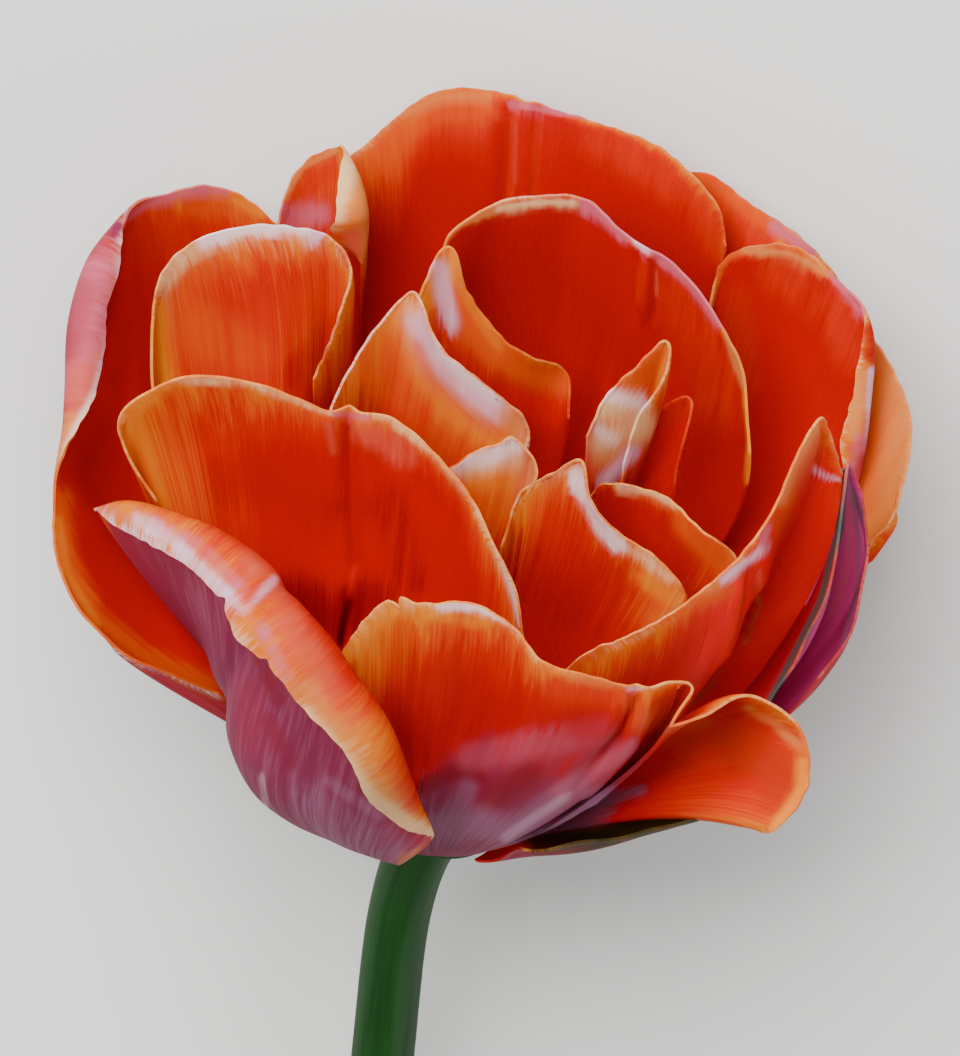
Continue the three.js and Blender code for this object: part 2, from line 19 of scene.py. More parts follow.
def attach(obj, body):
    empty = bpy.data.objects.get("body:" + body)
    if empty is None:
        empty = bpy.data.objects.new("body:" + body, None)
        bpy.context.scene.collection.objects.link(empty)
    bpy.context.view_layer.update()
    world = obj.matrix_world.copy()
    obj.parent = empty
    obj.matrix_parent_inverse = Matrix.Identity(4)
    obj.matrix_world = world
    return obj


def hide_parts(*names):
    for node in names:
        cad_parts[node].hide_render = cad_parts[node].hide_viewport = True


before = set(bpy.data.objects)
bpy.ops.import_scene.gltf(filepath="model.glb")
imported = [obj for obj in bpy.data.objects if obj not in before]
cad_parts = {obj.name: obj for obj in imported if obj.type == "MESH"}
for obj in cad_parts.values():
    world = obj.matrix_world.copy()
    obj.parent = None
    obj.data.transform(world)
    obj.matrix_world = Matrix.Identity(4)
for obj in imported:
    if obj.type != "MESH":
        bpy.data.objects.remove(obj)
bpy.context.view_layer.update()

LOG = logging.getLogger("tulip")

MM = 0.001
DRAWING_SLOPE = math.sqrt(0.5)

# How the bloom lies: its axis rises by this many degrees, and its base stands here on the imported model.
BLOOM_RISE = math.radians(22)
BLOOM_AT = np.array([7.2, 104.4, 20.5])

# Edges sharper than this stay sharp.
CREASE = math.radians(50)

# A Map Range node with a soft start and end. Its inputs 1 to 4 are from, from, to and to.
SOFT = {"interpolation_type": "SMOOTHSTEP"}

# A Mix node for colours. Its input 0 is the share of the second colour, and 6 and 7 are the two colours.
COLOURS = {"data_type": "RGBA"}

Row = Tuple[float, ...]
Pair = Tuple[float, float]
Point = Tuple[float, float, float]


def linear(code: str, alpha: float = 1.0) -> Tuple[float, float, float, float]:
    """Turns an sRGB hex colour into the linear values that a shader takes.

    Args:
        code: six hex digits after a "#".
        alpha: the fourth value.

    Returns:
        Red, green, blue and alpha.
    """
    parts = [int(code[k : k + 2], 16) / 255 for k in (1, 3, 5)]
    red, green, blue = [p / 12.92 if p <= 0.04045 else ((p + 0.055) / 1.055) ** 2.4 for p in parts]
    return red, green, blue, alpha


def add_node(
    tree: bpy.types.NodeTree,
    kind: str,
    settings: Optional[Dict[Any, Any]] = None,
    links: Optional[Dict[Any, Any]] = None,
) -> bpy.types.Node:
    """Adds a shader node with its settings and the links that reach it.

    Args:
        tree: the material's node tree.
        kind: the node's type name.
        settings: values for the node's properties, or for its inputs where the key names or numbers one.
        links: a socket for each input of these names or numbers, or a node for its first output in use.

    Returns:
        The new node.
    """
    node = tree.nodes.new(kind)
    for key, value in (settings or {}).items():
        if isinstance(key, str) and hasattr(node, key):
            setattr(node, key, value)
        else:
            node.inputs[key].default_value = value
    for key, source in (links or {}).items():
        if isinstance(source, bpy.types.Node):
            source = next(socket for socket in source.outputs if socket.enabled)
        tree.links.new(source, node.inputs[key])
    return node


def new_material(name: str) -> Tuple[bpy.types.Material, bpy.types.NodeTree]:
    """Makes a material with an empty node tree, and returns both."""
    made = bpy.data.materials.new(name)
    made.use_nodes = True
    made.node_tree.nodes.clear()
    return made, made.node_tree


def set_ramp(node: bpy.types.Node, stops: Sequence[Tuple[float, str]]) -> None:
    """Gives a colour ramp its stops, as places from 0 to 1 with hex colours."""
    elements = node.color_ramp.elements
    while len(elements) < len(stops):
        elements.new(1.0)
    for element, (place, code) in zip(elements, stops):
        element.position = place
        element.color = linear(code)


def fibre_noise(
    tree: bpy.types.NodeTree, fibre: bpy.types.Node, scale: Point, detail: float, roughness: float
) -> bpy.types.Node:
    """Adds noise that is drawn out along a piece's fibres.

    Args:
        tree: the material's node tree.
        fibre: the fibre attribute: millimetres across the fibres and along them, and the share from the root.
        scale: how many grains fit in one of each of these.
        detail: how many finer layers the noise has.
        roughness: how strong those are.

    Returns:
        The noise, from 0 to 1.
    """
    place = add_node(tree, "ShaderNodeMapping", {"Scale": scale}, {"Vector": fibre.outputs["Vector"]})
    grains = {"Scale": 1.0, "Detail": detail, "Roughness": roughness}
    return add_node(tree, "ShaderNodeTexNoise", grains, {"Vector": place})


def spline(values: Sequence[float], t: np.ndarray) -> np.ndarray:
    """Reads a smooth curve through evenly spaced values.

    Args:
        values: the values along the curve.
        t: where to read it, from 0 to 1.

    Returns:
        The curve's values at t.
    """
    row = np.asarray(values, dtype=float)
    n = len(row) - 1
    if n == 0:
        return np.full_like(t, row[0])
    i = np.minimum((t * n).astype(int), n - 1)
    f = t * n - i
    a, b, c, d = (row[np.clip(i + k, 0, n)] for k in (-1, 0, 1, 2))
    return 0.5 * (2 * b + (c - a) * f + (2 * a - 5 * b + 4 * c - d) * f**2 + (3 * b - a - 3 * c + d) * f**3)


def smoothstep(x: np.ndarray, low: float, high: float) -> np.ndarray:
    """Rises smoothly from 0 at the low value to 1 at the high one."""
    t = np.clip((x - low) / (high - low), 0, 1)
    return t * t * (3 - 2 * t)


def unit(v: np.ndarray) -> np.ndarray:
    """Scales vectors along the last axis to length 1."""
    return v / np.maximum(np.linalg.norm(v, axis=-1, keepdims=True), 1e-9)


def facing(azimuth: np.ndarray) -> np.ndarray:
    """The level direction at an azimuth in degrees, counted from the bloom's front to its right."""
    a = np.radians(azimuth)
    return np.stack([np.sin(a), -np.cos(a), np.zeros_like(a)], axis=-1)


def ripple(u: np.ndarray, v: np.ndarray, seed: int, waves: int, span: float) -> np.ndarray:
    """A soft irregular swell over a sheet, between about -1 and 1.

    Args:
        u: place across the sheet.
        v: place along the sheet.
        seed: picks one swell out of many.
        waves: how many plain waves it is made of.
        span: the most waves that fit on the sheet.

    Returns:
        The swell's height at each place.
    """
    rng = np.random.default_rng(seed)
    total = np.zeros(np.broadcast(u, v).shape)
    for _ in range(waves):
        ku, kv = rng.uniform(0.35, 1, 2) * span
        total = total + np.sin(2 * np.pi * (ku * u + rng.choice([-1, 1]) * 0.5 * kv * v + rng.random()))
    return total / math.sqrt(waves)


def sheet_normals(grid: np.ndarray) -> np.ndarray:
    """The unit normals of a grid of points, across times along."""
    return unit(np.cross(np.gradient(grid, axis=0), np.gradient(grid, axis=1)))


def lift(grid: np.ndarray, up: np.ndarray, depth: float, height: float) -> np.ndarray:
    """Lifts points that lie lower than a height over the surface that the flower rests on.

    Args:
        grid: the points.
        up: the upward direction in their frame.
        depth: how far the surface is under their frame's origin.
        height: the least height that they keep.

    Returns:
        The lifted points.
    """
    under = np.maximum(height - depth - grid @ up, 0)
    return grid + under[..., None] * up


def laid_down(points: np.ndarray) -> np.ndarray:
    """Turns points of the bloom's own frame into the lying flower's, both in millimetres."""
    s, c = math.sin(BLOOM_RISE), math.cos(BLOOM_RISE)
    x, y, z = np.moveaxis(points, -1, 0)
    return np.stack([x, y * s + z * c, -y * c + z * s], axis=-1) + BLOOM_AT


def run_along(path: np.ndarray) -> np.ndarray:
    """The length of a path up to each of its points."""
    return np.concatenate([[0], np.cumsum(np.linalg.norm(np.diff(path, axis=0), axis=1))])


def smooth_path(points: Sequence[Row], count: int) -> np.ndarray:
    """Draws a smooth curve through points.

    Args:
        points: the points, which may lie unevenly.
        count: how many points to return.

    Returns:
        Evenly spaced points on the curve, from its first to its last.
    """
    p = np.asarray(points, dtype=float)
    p = np.vstack([2 * p[0] - p[1], p, 2 * p[-1] - p[-2]])
    gaps = np.sqrt(np.linalg.norm(np.diff(p, axis=0), axis=1))
    t = np.linspace(0, 1, 40, endpoint=False)[:, None]
    parts = []
    for k in range(len(p) - 3):
        (a, b, c, d), (ga, gb, gc) = p[k : k + 4], gaps[k : k + 3]
        start = ((b - a) / ga - (c - a) / (ga + gb) + (c - b) / gb) * gb
        finish = ((c - b) / gb - (d - b) / (gb + gc) + (d - c) / gc) * gb
        bend = (3 * (c - b) - 2 * start - finish) * t**2
        parts.append(b + start * t + bend + (2 * (b - c) + start + finish) * t**3)
    fine = np.vstack(parts + [p[-2:-1]])
    run = run_along(fine)
    even = np.linspace(0, run[-1], count)
    return np.stack([np.interp(even, run, fine[:, k]) for k in range(3)], axis=-1)


def tube_points(path: np.ndarray, radii: np.ndarray, sides: int) -> np.ndarray:
    """The points of a round tube.

    Args:
        path: its middle line.
        radii: the radius at each side of each point of the path.
        sides: faces round it.

    Returns:
        Its points, by side and by ring, with the first side repeated as the last.
    """
    ahead = unit(np.gradient(path, axis=0))
    level = unit(np.array([1.0, 0, 0]) - ahead * ahead[:, :1])
    other = np.cross(ahead, level)
    a = np.linspace(0, 2 * np.pi, sides + 1)[:, None, None]
    return path + radii.T[:, :, None] * (np.cos(a) * level + np.sin(a) * other)


def only_selected(piece: bpy.types.Object) -> None:
    """Leaves one object selected and active, so that operators act on it alone."""
    bpy.ops.object.select_all(action="DESELECT")
    piece.select_set(True)
    bpy.context.view_layer.objects.active = piece


def shaped_grid(
    name: str, points: np.ndarray, materials: Sequence[bpy.types.Material], attributes: Dict[str, np.ndarray]
) -> bpy.types.Object:
    """Makes a grid primitive and bends it into a sheet.

    Args:
        name: the object's name.
        points: the sheet's points in the lying flower's millimetres, by column and row.
        materials: one for each material index that its faces will have.
        attributes: four values for each point that the finish reads.

    Returns:
        The sheet, an open surface with one layer of faces.
    """
    columns, rows = points.shape[0] - 1, points.shape[1] - 1
    bpy.ops.object.select_all(action="DESELECT")
    bpy.ops.mesh.primitive_grid_add(x_subdivisions=columns, y_subdivisions=rows, size=2)
    sheet = bpy.context.active_object
    sheet.name = sheet.data.name = name
    mesh = sheet.data
    for material in materials:
        mesh.materials.append(material)
    flat = np.empty(len(mesh.vertices) * 3)
    mesh.vertices.foreach_get("co", flat)
    flat = flat.reshape(-1, 3)
    i = np.rint((flat[:, 0] + 1) / 2 * columns).astype(int)
    j = np.rint((flat[:, 1] + 1) / 2 * rows).astype(int)
    mesh.vertices.foreach_set("co", (points[i, j] * MM).ravel())
    for key, values in attributes.items():
        store = mesh.attributes.new(key, "FLOAT_COLOR", "POINT")
        store.data.foreach_set("color", values[i, j].astype(np.float32).ravel())
    mesh.update()
    return sheet


def thicken(piece: bpy.types.Object, thickness: float, **settings: Any) -> None:
    """Gives a sheet its thickness in millimetres, half to each side."""
    only_selected(piece)
    modifier = piece.modifiers.new("Solidify", "SOLIDIFY")
    settings.update(thickness=thickness * MM, offset=0.0, use_even_offset=False)
    for key, value in settings.items():
        setattr(modifier, key, value)
    bpy.ops.object.modifier_apply(modifier=modifier.name)


def close_tube(piece: bpy.types.Object) -> None:
    """Joins a rolled-up sheet along its seam and closes its two ends."""
    only_selected(piece)
    bpy.ops.object.mode_set(mode="EDIT")
    bpy.ops.mesh.select_all(action="SELECT")
    bpy.ops.mesh.remove_doubles(threshold=1e-7)
    bpy.ops.mesh.select_all(action="DESELECT")
    bpy.ops.mesh.select_non_manifold()
    bpy.ops.mesh.edge_face_add()
    bpy.ops.mesh.select_all(action="SELECT")
    bpy.ops.mesh.fill_holes(sides=0)
    bpy.ops.mesh.normals_make_consistent(inside=False)
    bpy.ops.object.mode_set(mode="OBJECT")


def settle(piece: bpy.types.Object, node: str) -> None:
    """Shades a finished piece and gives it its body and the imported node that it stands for.

    Args:
        piece: the finished object.
        node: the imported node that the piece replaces.
    """
    only_selected(piece)
    bpy.ops.object.shade_smooth_by_angle(angle=CREASE)
    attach(piece, "root")
    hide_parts(node)
    piece.data.calc_loop_triangles()
    LOG.info("%s: %d triangles", piece.name, len(piece.data.loop_triangles))


class Face(Enum):
    """The two faces of a petal, as its attributes name them."""

    OUTSIDE = "outside"
    INSIDE = "inside"


class Tint(Enum):
    """Colours that lie in strokes on a petal. Most are the petal's own colours; some strokes paint
    highlights, shade and shadow, and are marked so where they are laid.
    """

    WHITE = "#f4e6ea"
    CREAM = "#eecb92"
    LILAC = "#e8c4da"
    YELLOW = "#ee9418"
    PEACH = "#dc8a44"
    ORANGE = "#de5404"
    FLAME = "#d02800"
    SALMON = "#d0583c"
    PINK = "#d0647a"
    ROSE = "#a42c40"
    MAGENTA = "#d8489a"
    MAUVE = "#86244c"
    GREY_LILAC = "#9c6482"
    # Painted light: a bright red laid over shaded parts of petals, to lift them.
    RED = "#f20000"
    SCARLET = "#b60000"
    # The deep crimson of the flamed outsides, and painted shade in hollows, creases and the bowl's bottom.
    CRIMSON = "#86000a"
    # Painted shadow: the near-black gap where two petals meet.
    DARK = "#3c0410"
    BLUE_GREEN = "#3c5a55"
    # The dull green of the bract under the bloom, painted darker as the shade it lies in.
    OLIVE = "#2e3010"


@dataclass(frozen=True)
class PetalPlace:
    """What the layers of a petal's skin read at each of its points, and the tree that they are added to.

    The reach is how many millimetres are left to the free margin, and the share is that of the way from the
    root. The band, cream, mauve_from and blush are those of the face's Zones. The rest is noise along the
    fibres: fine and coarse streaks, plumes, and sectors in which the margin's colours thin out.
    """

    tree: bpy.types.NodeTree
    reach: bpy.types.NodeSocket
    share: bpy.types.NodeSocket
    band: bpy.types.NodeSocket
    cream: bpy.types.NodeSocket
    mauve_from: bpy.types.NodeSocket
    blush: bpy.types.NodeSocket
    fine: bpy.types.Node
    coarse: bpy.types.Node
    plumes: bpy.types.Node
    sectors: bpy.types.Node


@dataclass(frozen=True)
class PetalFinish:
    """Fresh petal skin: satin and thin, coloured by cells in fine rows that run to the margin.

    The colour runs from cream at the free edge over yellow and orange to scarlet, and in fibres, so that no
    zone has a clean border. Towards the root a bright red is painted as glow, in place of the shade deep in
    the bloom. Light comes through the thin tissue.

    The fibre, tongue, plume and sector sizes are a streak's width and length. Real rows of cells are about
    0.05 mm wide, too fine to show, so the finest streaks are drawn 0.34 mm wide. The drift is how much the
    noise changes from root to margin, and its layers are its detail and roughness. A "_range" is where a soft
    step of noise or of a share starts and ends, and a "_fray" is how far the streaks move a border.
    """

    face: Face
    cream: str = "#eeb878"
    lilac: str = "#e8c8d6"
    yellow: str = "#e27c08"
    orange: str = "#dc4e00"
    vermilion: str = "#cc1c00"
    scarlet: str = "#bc0000"
    # Painted glow: the bright red that the skin takes towards the root, in place of the shade deep in the
    # bloom.
    depth: str = "#ea0006"
    rose: str = "#b42c38"
    mauve: str = "#a42a4a"
    plum: str = "#862c4e"
    feather: str = "#c47c92"
    fibre_mm: Pair = (0.34, 6.0)
    tongue_mm: Pair = (2.0, 18.0)
    plume_mm: Pair = (1.3, 12.0)
    sector_mm: Pair = (5.0, 20.0)
    noise_drift: float = 0.35
    noise_layers: Pair = (3.0, 0.6)
    plume_fibres: float = 0.5
    sector_range: Pair = (0.4, 0.6)
    band_gap: float = 0.15
    band_fray: Pair = (0.65, 0.5)
    glow_range: Pair = (0.3, 0.85)
    flush_fray_mm: float = 4.5
    flush_border_mm: float = 5.0
    flush_span_mm: Pair = (2.0, 26.0)
    plume_range: Pair = (0.66, 1.05)
    plume_share: float = 0.3
    hem_gap: float = 0.25
    comb_fall: float = 0.34
    comb_range: Pair = (0.34, 0.5)
    comb_warmth: Pair = (0.1, 0.75)
    comb_reach_mm: Pair = (0.2, 1.4)
    comb_share: Pair = (0.2, 0.95)
    stroke_fray: float = 4.4
    stroke_mean: float = 0.75
    relief: float = 0.5
    relief_mm: float = 0.1
    roughness: float = 0.5
    specular: float = 0.12
    ior: float = 1.42
    glow: float = 0.42

    def red_body(self, at: PetalPlace) -> bpy.types.Node:
        """The skin's colours, from yellow at the margin to scarlet, with a painted glow of bright red towards
        the root.

        Args:
            at: what the layers read.

        Returns:
            The node that gives the colour.
        """
        ratio = add_node(at.tree, "ShaderNodeMath", {"operation": "DIVIDE"}, {0: at.reach, 1: at.band})
        for noise, fray in zip((at.fine, at.coarse), self.band_fray):
            fraying = {"operation": "MULTIPLY_ADD", 1: 2 * fray}
            ratio = add_node(at.tree, "ShaderNodeMath", fraying, {0: noise, 2: ratio})
        # The ramp's whole length is two widths of the band.
        halving = {"operation": "MULTIPLY_ADD", 1: 0.5, 2: -0.5 * sum(self.band_fray), "use_clamp": True}
        ratio = add_node(at.tree, "ShaderNodeMath", halving, {0: ratio})
        thinning = {**SOFT, 1: self.sector_range[0], 2: self.sector_range[1], 3: self.band_gap, 4: 0.0}
        thinner = add_node(at.tree, "ShaderNodeMapRange", thinning, {0: at.sectors})
        ratio = add_node(at.tree, "ShaderNodeMath", {"operation": "ADD"}, {0: ratio, 1: thinner})
        ramp = add_node(at.tree, "ShaderNodeValToRGB", links={0: ratio})
        set_ramp(ramp, [
            (0.0, self.yellow), (0.08, self.yellow), (0.26, self.orange), (0.48, self.vermilion),
            (0.8, self.scarlet),
        ])
        # Painted glow: towards the root the red is brightened, in place of the shade deep inside the bloom,
        # as the light that fresh tissue scatters there would do.
        glow_step = {**SOFT, 1: self.glow_range[0], 2: self.glow_range[1], 3: 1.0, 4: 0.0}
        glow_share = add_node(at.tree, "ShaderNodeMapRange", glow_step, {0: at.share})
        return add_node(at.tree, "ShaderNodeMix", {**COLOURS, 7: linear(self.depth)}, {0: glow_share, 6: ramp})

    def mauve_flush(self, at: PetalPlace, skin: bpy.types.Node) -> bpy.types.Node:
        """The mauve flush of a petal's middle, with its pale plumes.

        Args:
            at: what the layers read.
            skin: the colour under it.

        Returns:
            The node that gives the colour.
        """
        inwards = {0: at.reach, 1: at.mauve_from}
        spread = add_node(at.tree, "ShaderNodeMath", {"operation": "SUBTRACT"}, inwards)
        for noise in (at.fine, at.coarse):
            fraying = {"operation": "MULTIPLY_ADD", 1: 2 * self.flush_fray_mm}
            spread = add_node(at.tree, "ShaderNodeMath", fraying, {0: noise, 2: spread})
        border = {**SOFT, 1: 2 * self.flush_fray_mm, 2: 2 * self.flush_fray_mm + self.flush_border_mm}
        mask = add_node(at.tree, "ShaderNodeMapRange", border, {0: spread})
        span = {1: self.flush_span_mm[0], 2: self.flush_span_mm[1]}
        ramp = add_node(at.tree, "ShaderNodeValToRGB", links={
            0: add_node(at.tree, "ShaderNodeMapRange", span, {0: at.reach}),
        })
        set_ramp(ramp, [(0.0, self.rose), (0.35, self.mauve), (1.0, self.plum)])
        pluming = {**SOFT, 1: self.plume_range[0], 2: self.plume_range[1], 4: self.plume_share}
        plume = add_node(at.tree, "ShaderNodeMapRange", pluming, {0: at.plumes})
        flush = add_node(at.tree, "ShaderNodeMix", {**COLOURS, 7: linear(self.feather)}, {0: plume, 6: ramp})
        return add_node(at.tree, "ShaderNodeMix", COLOURS, {0: mask, 6: skin, 7: flush})

    def pale_hem(self, at: PetalPlace, skin: bpy.types.Node) -> bpy.types.Node:
        """The pale streaks that reach in from the free edge, like a comb.

        Args:
            at: what the layers read.
            skin: the colour under them.

        Returns:
            The node that gives the colour.
        """
        reach = add_node(at.tree, "ShaderNodeMath", {"operation": "DIVIDE"}, {0: at.reach, 1: at.cream})
        falling = {"operation": "MULTIPLY_ADD", 1: -self.comb_fall}
        teeth = {**SOFT, 1: self.comb_range[0], 2: self.comb_range[1]}
        comb = add_node(at.tree, "ShaderNodeMapRange", teeth, {
            0: add_node(at.tree, "ShaderNodeMath", falling, {0: reach, 2: at.fine}),
        })
        pales = {**COLOURS, 6: linear(self.cream), 7: linear(self.lilac)}
        pale = add_node(at.tree, "ShaderNodeMix", pales, {0: at.blush})
        warming = {**SOFT, 1: self.comb_warmth[0], 2: self.comb_warmth[1]}
        warm = add_node(at.tree, "ShaderNodeMapRange", warming, {0: reach})
        streak = add_node(at.tree, "ShaderNodeMix", {**COLOURS, 7: linear(self.yellow)}, {0: warm, 6: pale})
        # The pale hem is stronger where it is wider, and it comes and goes along a petal's edge.
        widths = dict(enumerate(self.comb_reach_mm + self.comb_share, 1))
        thinning = {**SOFT, 1: self.sector_range[0], 2: self.sector_range[1], 3: self.hem_gap, 4: 1.0}
        for settings, source in ((widths, at.cream), (thinning, at.sectors)):
            share = add_node(at.tree, "ShaderNodeMapRange", settings, {0: source})
            comb = add_node(at.tree, "ShaderNodeMath", {"operation": "MULTIPLY"}, {0: comb, 1: share})
        return add_node(at.tree, "ShaderNodeMix", COLOURS, {0: comb, 6: skin, 7: streak})

    def painted(self, at: PetalPlace, skin: bpy.types.Node, tint: bpy.types.Node) -> bpy.types.Node:
        """Lays the petal's strokes over its skin, frayed by the plumes where they cover it by half.

        Args:
            at: what the layers read.
            skin: the colour under them.
            tint: the attribute with the strokes' colour and cover.

        Returns:
            The node that gives the colour.
        """
        cover = tint.outputs["Alpha"]
        centring = {"operation": "MULTIPLY_ADD", 1: self.stroke_fray, 2: -self.stroke_fray * self.stroke_mean}
        fray = add_node(at.tree, "ShaderNodeMath", centring, {0: at.plumes})
        half = add_node(at.tree, "ShaderNodeMath", {"operation": "PINGPONG", 1: 0.5}, {0: cover})
        adding = {"operation": "MULTIPLY_ADD", "use_clamp": True}
        amount = add_node(at.tree, "ShaderNodeMath", adding, {0: fray, 1: half, 2: cover})
        return add_node(at.tree, "ShaderNodeMix", COLOURS, {0: amount, 6: skin, 7: tint.outputs["Color"]})

    def material(self, name: str) -> bpy.types.Material:
        """Builds the material.

        Args:
            name: its name.

        Returns:
            The material, which reads the petal's own fibre, zone and tint attributes.
        """
        made, tree = new_material(name)
        fibre, zone, tint = (
            add_node(tree, "ShaderNodeAttribute", {"attribute_name": key})
            for key in ("fibre", "zone_" + self.face.value, "tint_" + self.face.value)
        )
        run = add_node(tree, "ShaderNodeSeparateXYZ", links={0: fibre.outputs["Vector"]}).outputs
        widths = add_node(tree, "ShaderNodeSeparateXYZ", links={0: zone.outputs["Vector"]}).outputs
        fine, coarse, plumes, sectors = (
            fibre_noise(tree, fibre, (1 / across, 1 / along, self.noise_drift), *self.noise_layers)
            for across, along in (self.fibre_mm, self.tongue_mm, self.plume_mm, self.sector_mm)
        )
        adding = {"operation": "MULTIPLY_ADD", 1: self.plume_fibres}
        plumes = add_node(tree, "ShaderNodeMath", adding, {0: fine, 2: plumes})
        at = PetalPlace(
            tree, run["Y"], run["Z"], widths["X"], widths["Y"], widths["Z"], zone.outputs["Alpha"],
            fine, coarse, plumes, sectors,
        )
        skin = self.pale_hem(at, self.mauve_flush(at, self.red_body(at)))
        skin = self.painted(at, skin, tint)
        rough = {"Strength": self.relief, "Distance": self.relief_mm * MM}
        grain = add_node(tree, "ShaderNodeBump", rough, {"Height": fine})
        gloss = {"Roughness": self.roughness, "IOR": self.ior, "Specular IOR Level": self.specular}
        coat = add_node(tree, "ShaderNodeBsdfPrincipled", gloss, {"Base Color": skin, "Normal": grain})
        through = add_node(tree, "ShaderNodeBsdfTranslucent", links={"Color": skin, "Normal": grain})
        both = add_node(tree, "ShaderNodeMixShader", {0: self.glow}, {1: coat, 2: through})
        add_node(tree, "ShaderNodeOutputMaterial", links={"Surface": both})
        return made


@dataclass(frozen=True)
class GreenFinish:
    """Waxed plant skin, such as a stem's or a leaf's: two greens in long fibres under a thin dull wax.

    The fibres are as far apart as a leaf's parallel veins. The wax whitens the green a little in blotches and
    makes its gloss broad and soft, and towards its base the piece may be paler.
    """

    dark: str
    light: str
    wax: str
    fibre_mm: Pair
    roughness: float
    wax_share: float
    relief_mm: float
    base: str = "#c9d3a0"
    base_share: float = 0.0
    base_end: float = 0.16
    light_range: Pair = (0.36, 0.66)
    wax_range: Pair = (0.3, 0.75)
    blotches_per_mm: Pair = (0.22, 0.045)
    gloss_change: Pair = (-0.06, 0.1)
    relief: float = 0.6
    specular: float = 0.22
    ior: float = 1.43
    glow: float = 0.12

    def material(self, name: str) -> bpy.types.Material:
        """Builds the material.

        Args:
            name: its name.

        Returns:
            The material, which reads the piece's own fibre attribute.
        """
        made, tree = new_material(name)
        fibre = add_node(tree, "ShaderNodeAttribute", {"attribute_name": "fibre"})
        run = add_node(tree, "ShaderNodeSeparateXYZ", links={0: fibre.outputs["Vector"]})
        veins = fibre_noise(tree, fibre, (1 / self.fibre_mm[0], 1 / self.fibre_mm[1], 0.0), 2.0, 0.55)
        blotches = fibre_noise(tree, fibre, (*self.blotches_per_mm, 1.0), 4.0, 0.6)
        lighter = {**SOFT, 1: self.light_range[0], 2: self.light_range[1]}
        share = add_node(tree, "ShaderNodeMapRange", lighter, {0: veins})
        greens = {**COLOURS, 6: linear(self.dark), 7: linear(self.light)}
        skin = add_node(tree, "ShaderNodeMix", greens, {0: share})
        waxing = {1: self.wax_range[0], 2: self.wax_range[1], 4: self.wax_share}
        paling = {**SOFT, 2: self.base_end, 3: self.base_share, 4: 0.0}
        layers = ((waxing, blotches, self.wax), (paling, run.outputs["Z"], self.base))
        for settings, source, colour in layers:
            share = add_node(tree, "ShaderNodeMapRange", settings, {0: source})
            skin = add_node(tree, "ShaderNodeMix", {**COLOURS, 7: linear(colour)}, {0: share, 6: skin})
        rough = {"Strength": self.relief, "Distance": self.relief_mm * MM}
        grain = add_node(tree, "ShaderNodeBump", rough, {"Height": veins})
        dulling = {3: self.roughness + self.gloss_change[0], 4: self.roughness + self.gloss_change[1]}
        gloss = add_node(tree, "ShaderNodeMapRange", dulling, {0: blotches})
        coat = add_node(
            tree, "ShaderNodeBsdfPrincipled", {"IOR": self.ior, "Specular IOR Level": self.specular},
            {"Base Color": skin, "Roughness": gloss, "Normal": grain},
        )
        through = add_node(tree, "ShaderNodeBsdfTranslucent", links={"Color": skin})
        both = add_node(tree, "ShaderNodeMixShader", {0: self.glow}, {1: coat, 2: through})
        add_node(tree, "ShaderNodeOutputMaterial", links={"Surface": both})
        return made


@dataclass(frozen=True)
class DustFinish:
    """Pollen on an anther: grains too small for gloss, so a dull, rough surface.

    A real grain is about 0.06 mm wide, too fine to show, so a grain is drawn 0.25 mm wide.
    """

    dark: str
    light: str
    grain_mm: float = 0.25
    relief: float = 0.8
    relief_mm: float = 0.15
    roughness: float = 0.85

    def material(self, name: str) -> bpy.types.Material:
        """Builds the material.

        Args:
            name: its name.

        Returns:
            The material, patterned in the piece's own coordinates.
        """
        made, tree = new_material(name)
        place = add_node(tree, "ShaderNodeTexCoord")
        heaped = {"Scale": 1 / (self.grain_mm * MM), "Detail": 3.0, "Roughness": 0.7}
        grains = add_node(tree, "ShaderNodeTexNoise", heaped, {"Vector": place.outputs["Object"]})
        dusts = {**COLOURS, 6: linear(self.dark), 7: linear(self.light)}
        skin = add_node(tree, "ShaderNodeMix", dusts, {0: grains})
        rough = {"Strength": self.relief, "Distance": self.relief_mm * MM}
        relief = add_node(tree, "ShaderNodeBump", rough, {"Height": grains})
        gloss = {"Roughness": self.roughness}
        coat = add_node(tree, "ShaderNodeBsdfPrincipled", gloss, {"Base Color": skin, "Normal": relief})
        add_node(tree, "ShaderNodeOutputMaterial", links={"Surface": coat})
        return made


@dataclass(frozen=True)
class Zones:
    """Where the colours of one face lie, as values spread evenly from the margin's first end to its last.

    The orange margin's width, how far the cream streaks reach in and where the mauve starts are millimetres
    from the free edge; the blush is how pink the streaks are at the edge, from 0 to 1. No value is read lower
    than the least.
    """

    band: Row = (5.0,)
    cream: Row = (0.8,)
    mauve_from: Row = (200.0,)
    blush: Row = (0.0,)
    least: Row = (0.1, 0.1, -100.0, 0.0)

    def at(self, u: np.ndarray) -> np.ndarray:
        """The four values at each place across the petal."""
        rows = (self.band, self.cream, self.mauve_from, self.blush)
        return np.stack([np.maximum(spline(row, u), low) for row, low in zip(rows, self.least)], -1)


@dataclass(frozen=True)
class Stroke:
    """A soft stroke of colour on one face, or on both, laid through points of the drawing."""

    tint: Tint
    width: float
    strength: float
    path: Tuple[Pair, ...]
    face: Optional[Face] = None


@dataclass(frozen=True)
class Ridge:
    """A raised line, or with a negative height a crease, through points of the drawing."""

    width: float
    height: float
    path: Tuple[Pair, ...]


def pairs(numbers: Sequence[float]) -> Tuple[Pair, ...]:
    """Pairs up numbers that follow each other as across, up, across, up."""
    return tuple(zip(numbers[::2], numbers[1::2]))


